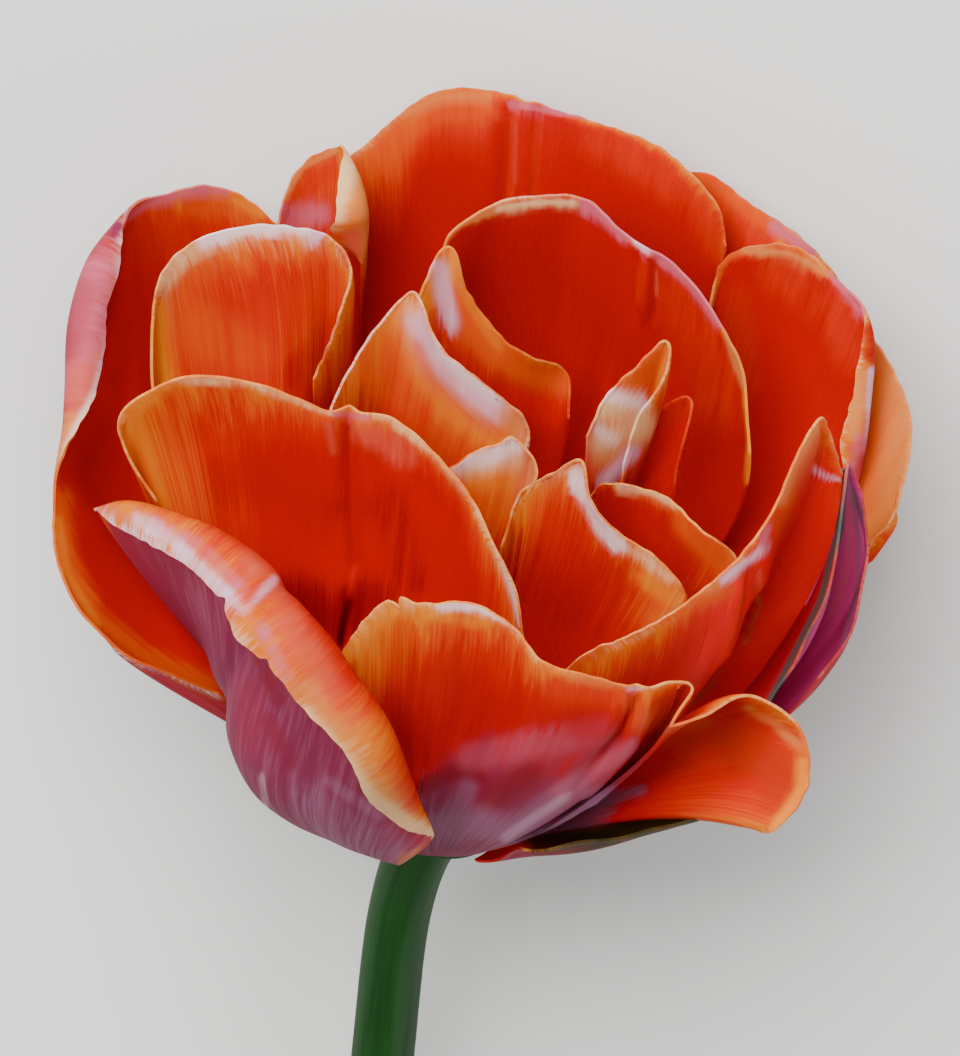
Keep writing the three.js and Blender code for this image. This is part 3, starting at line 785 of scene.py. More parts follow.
def paint(face: Optional[Face], *rows: Tuple[Any, ...]) -> List[Stroke]:
    """Makes strokes on one face or both, from rows of a tint, a width, a strength and the path's places."""
    return [Stroke(tint, width, strength, pairs(path), face) for tint, width, strength, *path in rows]


def ridges(*rows: Row) -> List[Ridge]:
    """Makes ridges from rows of a width, a height and the path's places."""
    return [Ridge(width, height, pairs(path)) for width, height, *path in rows]


def in_drawing(grid: np.ndarray) -> Tuple[np.ndarray, np.ndarray]:
    """How far across and how far up the drawing points of the bloom are."""
    return grid[..., 0], (grid[..., 1] + grid[..., 2]) * DRAWING_SLOPE


def near_path(grid: np.ndarray, path: Sequence[Pair], width: float, edge: float = 1.0) -> np.ndarray:
    """How near points lie to a line of the drawing.

    Args:
        grid: the points in the bloom's frame.
        path: the line's corners.
        width: the distance at which the value has fallen to about a third.
        edge: how sharply it falls there.

    Returns:
        For each point 1 on the line and less away from it.
    """
    across, up = in_drawing(grid)
    least = np.full(across.shape, np.inf)
    line = list(path) if len(path) > 1 else list(path) * 2
    for (ax, ay), (bx, by) in zip(line, line[1:]):
        dx, dy = bx - ax, by - ay
        t = np.clip(((across - ax) * dx + (up - ay) * dy) / max(dx * dx + dy * dy, 1e-9), 0, 1)
        least = np.minimum(least, (across - ax - t * dx) ** 2 + (up - ay - t * dy) ** 2)
    return np.exp(-((least / width**2) ** edge))


@dataclass
class Petal:
    """One petal, drawn by its margin and hung between it and its root on the receptacle.

    The base is an azimuth, a radius and a height. A margin row is across, up, height, lean, curl and strip:
    the lean is how far the petal tilts outwards there, and the curl how far its last strip turns over,
    outwards or, below zero, inwards. A crease and a nick are a place across, a width and a depth. A bulge is
    a place across and along, a width, a length and a height. The swell, the frill and the ragged edge are in
    millimetres, and each span is how many of its waves fit on the sheet, or on a wave unit of the margin. The
    ease is how often the sheet is smoothed across, which its power keeps from the margin.
    """

    name: str
    base: Point
    margin: List[Row]
    faces: float
    spread: float
    open: float
    rise: float
    fan: float
    pull: Pair
    creases: List[Point] = field(default_factory=list)
    skew: float = 0.0
    bulges: List[Row] = field(default_factory=list)
    nicks: List[Point] = field(default_factory=list)
    strokes: List[Stroke] = field(default_factory=list)
    ridges: List[Ridge] = field(default_factory=list)
    inside: Zones = Zones()
    outside: Zones = Zones(mauve_from=(18.0,))
    swell: float = 0.35
    swell_waves: int = 4
    swell_span: float = 2.2
    swell_rise: Pair = (0.15, 0.7)
    frill: float = 0.12
    frill_waves: int = 4
    frill_span: float = 5.5
    frill_drift: float = 0.3
    frill_seed: int = 50
    frill_reach: float = 7.0
    ragged: float = 0.07
    ragged_waves: int = 6
    ragged_span: float = 22
    ragged_seed: int = 90
    ragged_reach: float = 1.5
    nick_reach: float = 1.0
    wave_unit: float = 40
    unrolled: float = 0.3
    tangent_step: float = 0.004
    end_power: int = 8
    ease_power: int = 10
    stroke_edge: float = 1.6
    ease: int = 0
    seed: int = 1
    columns: int = 144
    rows: int = 56
    curl_rows: int = 20
    curl_steps: int = 4
    least_strip: float = 1.0
    thickness: float = 0.3
    slot: str = "petal"

    def margin_at(self, u: np.ndarray) -> List[np.ndarray]:
        """Reads the margin.

        Args:
            u: place along it, from 0 to 1.

        Returns:
            Its points, and its lean, curl and strip.
        """
        rows = [tuple(row) + (0.0,) * (6 - len(row)) for row in self.margin]
        across, up, height, lean, curl, strip = (spline([row[k] for row in rows], u) for k in range(6))
        points = np.stack([across, up / DRAWING_SLOPE - height, height], axis=-1)
        return [points, np.radians(lean), np.radians(curl), strip]

    def veins(self) -> np.ndarray:
        """The petal's middle surface, by column from its first side and by row from its root up."""
        u = np.linspace(0, 1, self.columns + 1)
        side = (2 * u - 1)[:, None]
        point, lean, curl, strip = self.margin_at(u)
        before, after = np.maximum(u - self.tangent_step, 0), np.minimum(u + self.tangent_step, 1)
        along = unit(self.margin_at(after)[0] - self.margin_at(before)[0])
        level = facing(self.faces + side[:, 0] * self.fan)
        finish = level * np.sin(lean)[:, None] + np.array([0, 0, 1]) * np.cos(lean)[:, None]
        across = unit(finish - along * np.sum(finish * along, axis=1, keepdims=True))
        outer = unit(np.cross(along, across))
        # At the margin's two ends the petal runs on in its own direction, not square to the margin.
        across = unit(across + (finish - across) * side**self.end_power)
        end = point + across * (np.minimum(strip, self.least_strip) - self.least_strip)[:, None]

        azimuth, radius, height = self.base
        root = facing(azimuth + side[:, 0] * self.spread) * radius + np.array([0, 0, height])
        rise = math.radians(self.rise)
        start = facing(azimuth + side[:, 0] * self.open) * math.cos(rise) + np.array([0, 0, math.sin(rise)])
        chord = np.linalg.norm(end - root, axis=1)[:, None]
        t = np.linspace(0, 1, self.rows + 1)[None, :, None]
        body = root[:, None] + (end - root)[:, None] * (t * t * (3 - 2 * t))
        pull = (self.pull[0] + self.skew * side)[:, None]
        body = body + start[:, None] * chord[:, None] * pull * t * (1 - t) ** 2
        body = body + finish[:, None] * chord[:, None] * self.pull[1] * t * t * (t - 1)

        count = self.curl_rows * self.curl_steps
        turn = curl[:, None] * (np.arange(count) + 0.5) / count
        stride = (np.maximum(strip, self.least_strip) / count)[:, None, None]
        turned = across[:, None] * np.cos(turn)[..., None] + outer[:, None] * np.sin(turn)[..., None]
        steps = stride * turned
        rolled = end[:, None] + np.cumsum(steps, axis=1)[:, self.curl_steps - 1 :: self.curl_steps]
        return np.concatenate([body, rolled], axis=1)

    def to_margin(self, grid: np.ndarray, reach: np.ndarray) -> np.ndarray:
        """How far each point is from the free edge, along its fibre or, by an unrolled edge, straight to it.

        Args:
            grid: the points.
            reach: the millimetres left to the free edge along the fibres.

        Returns:
            The lesser of the two distances.
        """
        curl = self.margin_at(np.linspace(0, 1, grid.shape[0]))[2]
        for edge in grid[np.abs(curl) < self.unrolled, -1]:
            reach = np.minimum(reach, np.linalg.norm(grid - edge, axis=2))
        return reach

    def relief(self, grid: np.ndarray, along: np.ndarray, reach: np.ndarray, share: np.ndarray) -> np.ndarray:
        """How far the skin rises over the smooth sheet, in millimetres.

        Args:
            grid: the sheet's points.
            along: millimetres along the margin.
            reach: millimetres left to the free edge.
            share: share of the way from the root.

        Returns:
            The height at each point, from the swells, frills, creases, bulges and ridges.
        """
        u = np.linspace(0, 1, grid.shape[0])[:, None]
        v = np.minimum(np.arange(grid.shape[1]) / self.rows, 1)
        swell = ripple(u, share, self.seed, self.swell_waves, self.swell_span)
        out = self.swell * swell * smoothstep(share, *self.swell_rise)
        near = 1 - smoothstep(reach, 0.0, self.frill_reach)
        seed, drift = self.seed + self.frill_seed, share * self.frill_drift
        frill = ripple(along / self.wave_unit, drift, seed, self.frill_waves, self.frill_span)
        out = out + self.frill * frill * near
        for at, width, depth in self.creases:
            out = out - depth * np.exp(-(((u - at) / width) ** 2)) * v**2
        for at, at_v, width, length, height in self.bulges:
            out = out + height * np.exp(-(((u - at) / width) ** 2) - ((v - at_v) / length) ** 2)
        for ridge in self.ridges:
            out = out + ridge.height * near_path(grid, ridge.path, ridge.width)
        return out

    def raggedness(self, along: np.ndarray, reach: np.ndarray) -> np.ndarray:
        """How far the skin reaches past the drawn margin, in millimetres.

        Args:
            along: millimetres along the margin.
            reach: millimetres left to the free edge.

        Returns:
            The length at each point, which is below zero in the nicks.
        """
        u = np.linspace(0, 1, reach.shape[0])[:, None]
        seed = self.seed + self.ragged_seed
        edge = ripple(along / self.wave_unit, 0 * reach, seed, self.ragged_waves, self.ragged_span)
        out = self.ragged * edge * (1 - smoothstep(reach, 0.0, self.ragged_reach))
        for at, width, depth in self.nicks:
            cut = depth * np.maximum(0, 1 - np.abs(u - at) / width)
            out = out - cut * (1 - smoothstep(reach, 0.0, self.nick_reach + 2 * abs(depth)))
        return out

    def surface(self) -> Tuple[np.ndarray, np.ndarray]:
        """The finished middle surface with its creases, swells and frilled margin.

        Returns:
            The points in the bloom's frame, and for each point the millimetres along the margin, those left
            to the free edge, and the share of the way from the root.
        """
        grid = self.veins()
        hold = np.minimum(np.arange(grid.shape[1]) / self.rows, 1)[None, :, None] ** self.ease_power
        for _ in range(self.ease):
            eased = (grid[:-2] + grid[2:]) / 2
            grid[1:-1] = eased + (grid[1:-1] - eased) * hold
        steps = np.linalg.norm(np.diff(grid, axis=1), axis=2)
        left = np.cumsum(steps[:, ::-1], axis=1)[:, ::-1]
        reach = np.concatenate([left, np.zeros_like(left[:, :1])], axis=1)
        share = 1 - reach / np.maximum(reach[:, :1], 1e-6)
        reach = self.to_margin(grid, reach)
        along = run_along(grid[:, self.rows])[:, None] + np.zeros_like(share)
        grid = grid + sheet_normals(grid) * self.relief(grid, along, reach, share)[..., None]
        grid = grid + unit(np.gradient(grid, axis=1)) * self.raggedness(along, reach)[..., None]
        up = np.array([0, -math.cos(BLOOM_RISE), math.sin(BLOOM_RISE)])
        grid = lift(grid, up, BLOOM_AT[2], self.thickness / 2)
        return grid, np.stack([along, reach, share], axis=-1)

    def painted(self, grid: np.ndarray, face: Face) -> np.ndarray:
        """Lays the strokes of one face over each other.

        Args:
            grid: the petal's points in the bloom's frame.
            face: which face.

        Returns:
            For each point the colour, and how much of it covers the skin.
        """
        cover = np.zeros(grid.shape[:2])
        colour = np.zeros(grid.shape)
        for stroke in self.strokes:
            if stroke.face not in (None, face):
                continue
            laid = stroke.strength * near_path(grid, stroke.path, stroke.width, self.stroke_edge)
            total = laid + cover * (1 - laid)
            share = (laid / np.maximum(total, 1e-6))[..., None]
            colour = colour * (1 - share) + np.array(linear(stroke.tint.value)[:3]) * share
            cover = total
        return np.concatenate([colour, cover[..., None]], axis=-1)

    def build(self, inside: bpy.types.Material, outside: bpy.types.Material) -> None:
        """Models the petal as a closed thin blade and dresses it.

        Args:
            inside: the finish of the face that looks at the bloom's axis.
            outside: the finish of its back.
        """
        grid, fibre = self.surface()
        u = np.linspace(0, 1, grid.shape[0])
        attributes = {"fibre": np.concatenate([fibre, np.ones_like(fibre[..., :1])], axis=2)}
        for face, zone in ((Face.INSIDE, self.inside), (Face.OUTSIDE, self.outside)):
            attributes["zone_" + face.value] = np.broadcast_to(zone.at(u)[:, None], grid.shape[:2] + (4,))
            attributes["tint_" + face.value] = self.painted(grid, face)
        piece = shaped_grid(self.name + "_petal", laid_down(grid), [outside, inside], attributes)
        thicken(piece, self.thickness, material_offset=1, material_offset_rim=1)
        settle(piece, self.name)


@dataclass
class OuterPetal(Petal):
    """A petal of the outermost whorl, which opens wide from a shallow start."""

    spread: float = 22
    open: float = 42
    rise: float = 28
    fan: float = 45
    pull: Pair = (1.25, 0.9)


@dataclass
class MiddlePetal(Petal):
    """A petal of the whorl between the outer petals and the heart."""

    spread: float = 22
    open: float = 45
    rise: float = 30
    fan: float = 35
    pull: Pair = (1.1, 0.8)


@dataclass
class HeartPetal(Petal):
    """A small upright petal of the bloom's heart."""

    spread: float = 20
    open: float = 30
    rise: float = 60
    fan: float = 20
    pull: Pair = (0.7, 0.7)
    ease: int = 90
    columns: int = 96
    rows: int = 44
    curl_rows: int = 14
    least_strip: float = 0.3


def outer_petals() -> List[Petal]:
    """The nine petals of the outermost whorl, with the narrow green-striped one."""
    return [
        OuterPetal(
            "front_left", (-45, 7.3, 0), open=30, rise=32, faces=-50, pull=(1.4, 0.7), skew=0.55, seed=3,
            bulges=[(0.38, 0.45, 0.22, 0.22, 4.5), (0, 0.5, 0.25, 0.3, -2.5)], curl_rows=28,
            nicks=[(0.4, 0.02, 0.9), (0.53, 0.008, 0.7)],
            inside=Zones(
                band=(11, 10, 9, 9, 9, 9, 8), cream=(3, 3, 3, 3, 4, 5, 4), blush=(1, 1, 0.6, 0.2, 0, 0, 0),
            ),
            outside=Zones(mauve_from=(-6.0,)),
            ridges=ridges(
                (1.4, -0.9, -19.7, 20.4, -20.2, 15.4, -21.6, 11.2), (1.2, 0.5, -17.8, 21.7, -16, 22.7),
            ),
            strokes=paint(Face.INSIDE,
                (Tint.SALMON, 1.61, 0.55, -19.2, 25.9, -14.4, 17.5, -9.2, 9.1),
                (Tint.FLAME, 0.74, 0.5, -23.4, 30.1, -18.1, 25.9, -14.4, 21.7),
                (Tint.LILAC, 0.81, 0.7, -31.3, 30.1, -28.3, 28.5, -24.4, 24.8, -20.7, 21.1),
                (Tint.SALMON, 0.74, 0.6, -34.2, 30.9, -32.3, 30.1),
                (Tint.PINK, 0.74, 0.4, -30.2, 30.1, -24.9, 27.5, -20.2, 22.7),
                (Tint.LILAC, 0.5, 0.5, -19.9, 20.4, -18.4, 22.5, -17.1, 23.8),
                (Tint.PINK, 0.74, 0.5, -18.4, 19.1, -17.1, 16.4, -15.5, 13.8),
                (Tint.PEACH, 1.36, 0.6, -13.4, 12.2, -9.2, 5.9, -3.9, -0.9),
                (Tint.CREAM, 1.12, 0.85, -14.1, 9.9, -10.7, 5.9, -7.1, 0.9, -2.8, -2, -0.9, -2.9),
            ) + paint(Face.OUTSIDE,
                (Tint.ROSE, 2.11, 0.55, -34.4, 29.1, -30.2, 22.7, -26, 16.4),
                (Tint.ORANGE, 0.5, 0.6, -35.1, 30.6, -34.2, 27.5, -32.5, 24.3),
                (Tint.ROSE, 1.86, 0.35, -19.7, 12.2, -19.7, 6.9),
                (Tint.CRIMSON, 0.74, 0.5, -19.5, 19.1, -18.4, 15.4, -16.5, 11.2),
                (Tint.CRIMSON, 0.93, 0.35, -17.6, 9.1, -15.5, 4.8),
                (Tint.GREY_LILAC, 2.17, 0.55, -13.4, 0.6, -9.2, -3.1, -4.4, -4.6),
                (Tint.LILAC, 0.31, 0.3, -18.4, 3.3, -17.8, -0.6),
                (Tint.GREY_LILAC, 0.62, 0.5, -11.3, 2.7, -6, -0.9),
                (Tint.PEACH, 0.87, 0.5, -3.4, -5.7, -0.5, -4.6),
            ),
            margin=[
                (-35.5, 31, 46, 20, 60, 1), (-31, 31.4, 50, 10, 160, 5.5), (-27, 30.3, 51, 5, 160, 8),
                (-22, 28, 51, 0, 160, 9.5), (-17.2, 24.3, 50, 0, 160, 10.5), (-14.2, 20.2, 48, 0, 160, 11),
                (-11.1, 16.2, 45, 0, 160, 11), (-8.1, 11.7, 41, 0, 160, 10.5), (-5, 6.7, 35, 10, 160, 9.5),
                (-2.5, 1.8, 28, 20, 150, 6), (-0.5, -3, 20, 30, 60, 1),
            ],
        ),
        OuterPetal(
            "front", (12, 7.3, 0), rise=40, faces=12, pull=(1.2, 0.75), seed=5, creases=[(0.53, 0.06, 0.8)],
            inside=Zones(band=(4, 4, 3, 3, 4, 5)), nicks=[(0.12, 0.01, 1.3)], columns=176,
            outside=Zones(
                band=(10, 9, 8, 5, 3, 3, 7, 5), cream=(3, 4, 3, 1.5, 0.8, 0.8, 1.5, 2),
                mauve_from=(22, 18, 16, 14, 12, 12, 16, 8),
            ),
            ridges=ridges(
                (0.7, -0.7, 20.9, 12.2, 19.3, 8, 14.5, 1.7), (0.8, 0.4, 22.2, 11.2, 20.3, 6.4, 16.1, 1.2),
                (0.8, 0.35, 19.8, 11.2, 17.7, 8),
            ),
            strokes=paint(Face.OUTSIDE,
                (Tint.YELLOW, 0.99, 0.7, -9.4, 16.2, -7.3, 18.8, -4.4, 21.3),
                (Tint.YELLOW, 0.74, 0.5, -2.8, 20.4, 0.3, 20.4, 4.5, 19.4),
                (Tint.SCARLET, 3.1, 0.6, -3.9, 10.1, -0.7, 6.9, 4.5, 8, 8.7, 11.2),
                (Tint.ROSE, 1.86, 0.6, 1.9, 4.3, 8.7, 5.9, 17.2, 7.5),
                (Tint.ROSE, 2.48, 0.6, 4.5, 1.7, 12.9, 3.3, 19.3, 5.4),
                (Tint.MAUVE, 1.86, 0.45, 3.5, 1.7, 10.8, 0.6, 17.2, 2.2),
                (Tint.CRIMSON, 0.99, 0.6, -1.3, 2.2, 1.9, 3.8, 4.5, 3.3),
                (Tint.CRIMSON, 1.61, 0.6, 5.6, 0.8, 7.7, 2.5, 9.8, 3.6),
                (Tint.PINK, 1.61, 0.3, 3.5, 5.2, 7.7, 6.1, 12.9, 7.2, 17.2, 8.2),
                (Tint.GREY_LILAC, 1.86, 0.8, 0.3, -2.3, 4.5, -1.7, 8.7, -3.1, 12.9, -1.3, 17.2, 0.6),
                (Tint.GREY_LILAC, 1.12, 0.6, 1.4, -1.5, 2.8, 0.8, 3.3, 1.9),
                (Tint.GREY_LILAC, 1.12, 0.55, 8.7, -1.7, 11.9, 0.9, 14.8, 2.5),
                (Tint.PINK, 0.93, 0.45, 12.9, 1.7, 17.2, 4.3, 20.3, 6.4),
                (Tint.GREY_LILAC, 0.87, 0.5, 14, -0.6, 18.2, 0.9, 21.4, 1.7),
                (Tint.LILAC, 0.5, 0.3, 7.2, -3.1, 9.8, -1.3, 13.5, 1.2),
                (Tint.SCARLET, 1.86, 0.6, 15.1, 8.8, 18.2, 8.8),
                (Tint.FLAME, 1.61, 0.75, 12.9, 12.7, 17.2, 12.2, 20.5, 11.7),
                (Tint.YELLOW, 0.5, 0.5, 10.3, 17.5, 12.4, 14.5, 15.1, 14.1),
                (Tint.PEACH, 0.62, 0.4, 14, 13.8, 18.2, 13.1),
                (Tint.FLAME, 1.24, 0.85, 23.5, 11.2, 26.1, 12.2),
                (Tint.FLAME, 2.79, 0.92, 26.6, 6.9, 31.9, 7.5, 36.1, 4.3, 36.1, 1.7),
                (Tint.OLIVE, 2.48, 0.22, 31.4, 6.4, 35.6, 4.3, 36.1, 1.7),
                (Tint.SALMON, 1.24, 0.5, 22.4, 9.1, 27.7, 9.1),
                # Painted shade along the crease that runs down from the knot.
                (Tint.CRIMSON, 0.37, 0.65, 20.9, 11.9, 20.5, 10.5, 19.1, 8, 17.2, 5.9),
                (Tint.LILAC, 0.37, 0.6, 20.1, 12.6, 21.4, 12.8),
                (Tint.PEACH, 0.56, 0.6, 32.7, 10.5, 35.6, 8.8, 38, 6.4),
                (Tint.YELLOW, 0.68, 0.75, 38.4, 4.8, 38.2, 1.7, 35.6, -2.1),
                (Tint.WHITE, 0.56, 0.9, 0.3, 21.3, 4.5, 21.1, 8.7, 19.4, 9.8, 18.3),
                (Tint.ROSE, 0.62, 0.6, 6.6, -4.6, 11.7, -4.8),
            ) + paint(Face.INSIDE,
                (Tint.FLAME, 2.79, 0.8, 26.6, 6.9, 31.9, 7.5, 36.1, 4.3, 36.1, 1.7),
                (Tint.YELLOW, 0.68, 0.7, 38.4, 4.8, 38.2, 1.7, 35.6, -2.1),
            ),
            margin=[
                (-10.5, 15.5, 42), (-8, 19.2, 47), (-4.5, 22, 51), (-1, 21.3, 52), (4, 21.3, 52), (8, 19, 51),
                (11, 15.5, 50), (16, 14, 49), (21, 12.5, 47), (24.5, 12.6, 46, 10), (26.4, 12.3, 45, 20),
                (24.2, 8.4, 42, 25), (28, 9.3, 42.5, 45), (33, 11.2, 42, 55), (38, 7.5, 38, 70),
                (38.5, 2, 33, 80),
                (34.5, -2.8, 27, 80), (29, 0.5, 22, 60),
            ],
        ),
        OuterPetal(
            "under_front", (45, 7.3, -2.2), spread=12, open=20, rise=35, faces=45, pull=(0.9, 0.6), seed=7,
            outside=Zones(band=(2,), cream=(1.5,), mauve_from=(1,)),
            strokes=paint(None,
                (Tint.ROSE, 3.1, 0.6, 12.9, -0.9, 21.4, 0.6, 27.7, 1.2),
                # The bract's dull green, painted darker for the shade under the bloom.
                (Tint.OLIVE, 1.61, 0.95, 10.8, -3.6, 17.2, -3.3, 23.5, -1.8, 27.7, -0.8),
                (Tint.PINK, 0.74, 0.9, 21.4, 0.6, 27.7, 1.5, 31.4, 1.1),
            ),
            margin=[
                (9, -4.5, 12, 45), (13, -4.2, 15, 45), (20, -3, 19, 40), (26, -1.3, 23, 40),
                (31, 0.3, 26, 40),
                (29, 4, 27, 40), (24, 6, 26, 40),
            ],
        ),
        OuterPetal(
            "left", (-105, 7.3, 0), spread=20, open=38, rise=48, faces=-105, pull=(1.2, 0.9), seed=11,
            inside=Zones(band=(5, 4, 4, 3, 2, 2, 2.5, 3), cream=(0.3, 0.3, 0.5, 0.6, 0.6, 1, 1, 1)),
            outside=Zones(band=(3,), cream=(2.5,), mauve_from=(-3,), blush=(0.8,)),
            strokes=paint(Face.INSIDE,
                (Tint.FLAME, 3.72, 0.5, -29.2, 60.6, -22.8, 59.6, -19.7, 57.5),
                (Tint.ORANGE, 1.36, 0.7, -26, 63.3, -21.8, 63.3, -18.4, 61.7),
                (Tint.YELLOW, 0.56, 0.6, -21.3, 63.8, -18.4, 62.5),
                (Tint.PINK, 0.56, 0.85, -32.8, 62.1, -30.2, 63.8, -24.9, 65.1, -22.3, 64.9),
                (Tint.ORANGE, 1.36, 0.9, -39.9, 32.2, -39.3, 25.9, -36.3, 19.6, -31.3, 15.6, -24.4, 12.6),
                (Tint.YELLOW, 0.5, 0.6, -40, 30.1, -39.1, 24.6, -36, 19.1),
            ) + paint(Face.OUTSIDE,
                (Tint.PINK, 3.1, 0.7, -35.5, 56.9, -36.7, 51.2, -37.6, 44.8),
                (Tint.ROSE, 1.24, 0.5, -37.1, 54.3, -38.4, 48),
                (Tint.ROSE, 0.74, 0.5, -38.8, 53.3, -39.1, 46.9),
                (Tint.SALMON, 1.61, 0.7, -37.4, 45.4, -37.8, 41.7),
                (Tint.PEACH, 1.24, 0.8, -38.1, 40.1, -39.4, 36.2),
                (Tint.WHITE, 0.68, 0.75, -32.4, 59.6, -33.2, 54.3, -34.2, 49.1, -35.7, 43.3, -38.4, 37.7),
                (Tint.CREAM, 0.99, 0.6, -35.5, 42.7, -38.4, 36.9),
                (Tint.MAUVE, 0.56, 0.9, -33.5, 60.8, -34, 60),
            ),
            margin=[
                (-16, 60, 50, 10), (-20, 63.8, 54, 10), (-24.5, 65.4, 56, 10), (-29, 64.3, 57, 10),
                (-33.5, 61.3, 57, 5, -60, 3), (-37, 57, 56, 0, -150, 5.5), (-38.9, 51, 54, 0, -150, 6),
                (-39.2, 44, 51, 0, -150, 5), (-39.5, 37, 47, 10, -60, 2), (-40.2, 29, 41, 20),
                (-38.5, 22.5, 35, 25), (-34, 17, 29, 35), (-28, 13.8, 24, 40), (-23, 11.8, 20, 40),
            ],
        ),
        OuterPetal(
            "back_left", (-147, 7.3, 0), spread=14, open=20, faces=-150, pull=(1.5, 0.9), seed=13,
            inside=Zones(band=(7,), cream=(1,)),
            outside=Zones(band=(8,), mauve_from=(30,)),
            strokes=paint(Face.INSIDE,
                (Tint.FLAME, 1.86, 0.9, -14.4, 64.8, -11.8, 67.5),
                (Tint.PINK, 1.36, 0.95, -16, 62.2, -12.5, 62.5),
                (Tint.PEACH, 0.37, 0.8, -16.1, 64.3, -14.4, 67.4, -10.7, 69.1),
            ) + paint(Face.OUTSIDE,
                (Tint.PEACH, 1.61, 0.9, -7.9, 65.9, -7.3, 62.2, -7.7, 57.3),
                (Tint.CREAM, 1.49, 0.95, -9.6, 67.8, -10.4, 64.8, -11.1, 62.2),
                (Tint.SALMON, 0.93, 0.9, -8.9, 60.1, -8.7, 57.3),
            ),
            margin=[
                (-8, 57, 52, 5, -120, 3), (-7.2, 62, 57, 5, -120, 5), (-8.2, 66.5, 60, 5, -120, 4),
                (-10.5, 69.5, 61, 5), (-14, 67.7, 58, 10), (-16.3, 64, 54, 10), (-17.5, 58, 48, 5),
            ],
        ),
        OuterPetal(
            "back", (172, 7.3, 0), spread=15, open=30, faces=170, seed=17,
            inside=Zones(band=(3, 2, 1, 0.8, 0.8, 3, 6, 7), cream=(0.5, 0.5, 0.5, 0.5, 0.5, 1, 2, 1)),
            ridges=ridges(
                (1, 0.5, 8.1, 73.3, 7.8, 63.8), (1, -0.4, 9.4, 73.1, 9.2, 63.8),
                (1, 0.5, 10.6, 73.1, 10.5, 63.8), (1.3, -0.5, 6.1, 73.1, 5.6, 63.8),
            ),
            strokes=paint(Face.INSIDE,
                (Tint.FLAME, 3.1, 0.45, -3.9, 71.2, 3.5, 72.2),
                (Tint.ORANGE, 1.86, 0.65, -6.5, 68.2, -3.4, 71.7, 0.3, 73.5, 4.5, 73.5),
                (Tint.PEACH, 0.62, 0.6, -3.4, 73.1, 0.3, 74.8, 5.4, 74.9),
                # Painted highlights: lighter stripes along the raised veins by the midrib; the scarlet stripe
                # is painted shade in the crease beside them.
                (Tint.FLAME, 0.62, 0.6, 8.3, 72.4, 8.1, 69.1, 7.8, 64.3),
                (Tint.SALMON, 0.31, 0.3, 8.5, 72.7, 8.3, 65.9),
                (Tint.FLAME, 0.68, 0.6, 10.5, 72, 10.5, 64.3),
                (Tint.SCARLET, 0.74, 0.7, 6.3, 71.7, 5.8, 64.8),
                (Tint.PINK, 0.5, 0.9, 7.9, 74, 11.4, 73.5, 16.3, 72.9),
                (Tint.FLAME, 1.98, 0.7, 17.2, 70.1, 22.4, 67.5, 27.7, 63.3, 30, 59.6),
            ),
            margin=[
                (30.5, 59, 53, 8), (29, 64, 57, 12), (24, 69, 60, 18), (17, 72, 62, 20), (12, 73.5, 63, 22),
                (5, 75.5, 64, 22), (-1, 75, 63, 20), (-7.5, 70, 58, 15), (-12, 66, 52, 10),
            ],
        ),
        OuterPetal(
            "back_right", (138, 7.3, 0), spread=14, open=22, faces=140, pull=(1.6, 0.9), seed=19,
            inside=Zones(band=(4,), cream=(0.8,)),
            strokes=paint(Face.INSIDE,
                (Tint.FLAME, 2.48, 0.7, 27.7, 64.8, 34, 60.1),
                (Tint.ORANGE, 0.99, 0.75, 26.6, 67.5, 30, 65.1, 34.2, 61.9),
                (Tint.PINK, 0.74, 0.95, 35.7, 61.1, 37.7, 59.6, 39.5, 58.3),
                (Tint.SCARLET, 0.68, 0.8, 38.2, 57.3, 40.3, 56.2),
            ),
            margin=[
                (45, 51, 43, 25), (42, 56, 49, 28), (38, 60.3, 53, 30), (33, 63.5, 54, 28),
                (28, 66.8, 54, 25),
                (22, 66, 50, 20),
            ],
        ),
        OuterPetal(
            "right", (103, 7.3, 0), spread=12, open=30, faces=100, seed=23,
            inside=Zones(band=(30,), cream=(2,)),
            strokes=paint(Face.INSIDE,
                (Tint.PEACH, 5.58, 0.7, 46.6, 46.9, 48.7, 40.6, 49.3, 35.4, 47.2, 30.9),
                (Tint.ORANGE, 1.86, 0.6, 45.4, 39.6, 44.9, 32.2),
            ),
            margin=[
                (45.5, 28, 32, 20), (48, 30.5, 36, 22), (49.6, 34.5, 40, 25), (50, 39, 43, 25),
                (49, 43.5, 45, 25),
                (47, 48, 46, 22), (44, 51, 46, 20),
            ],
        ),
        OuterPetal(
            "right_sepal", (75, 7.3, -1), slot="green_petal", spread=9, open=12, faces=80, fan=10, seed=29,
            columns=48,
            inside=Zones(band=(0.2,), cream=(0.2,), mauve_from=(-12,)),
            outside=Zones(band=(0.2,), cream=(0.2,), mauve_from=(-12,)),
            strokes=paint(Face.OUTSIDE,
                (Tint.MAGENTA, 5.58, 0.85, 44, 32.2, 43.5, 25.9, 41.9, 19.6, 38.2, 12.2),
                (Tint.PINK, 0.62, 0.5, 43.5, 32.2, 43.3, 25.9, 41.9, 20.6),
                (Tint.CRIMSON, 0.74, 0.35, 43.5, 19.6, 41.2, 13.3),
                (Tint.BLUE_GREEN, 0.34, 0.95, 42.7, 35.4, 42.4, 29.1, 40.5, 21.7, 36.8, 14.3, 34.8, 10.5),
                (Tint.BLUE_GREEN, 0.37, 0.7, 43.7, 33.3, 45.4, 29.1, 45.8, 24.8, 45.2, 19.1),
                (Tint.GREY_LILAC, 0.25, 0.9, 43.5, 33.8, 44.5, 28, 44.3, 22.7, 42.8, 16.9),
                (Tint.GREY_LILAC, 0.5, 0.6, 42.9, 35.6, 43.3, 32.2),
            ) + paint(Face.INSIDE,
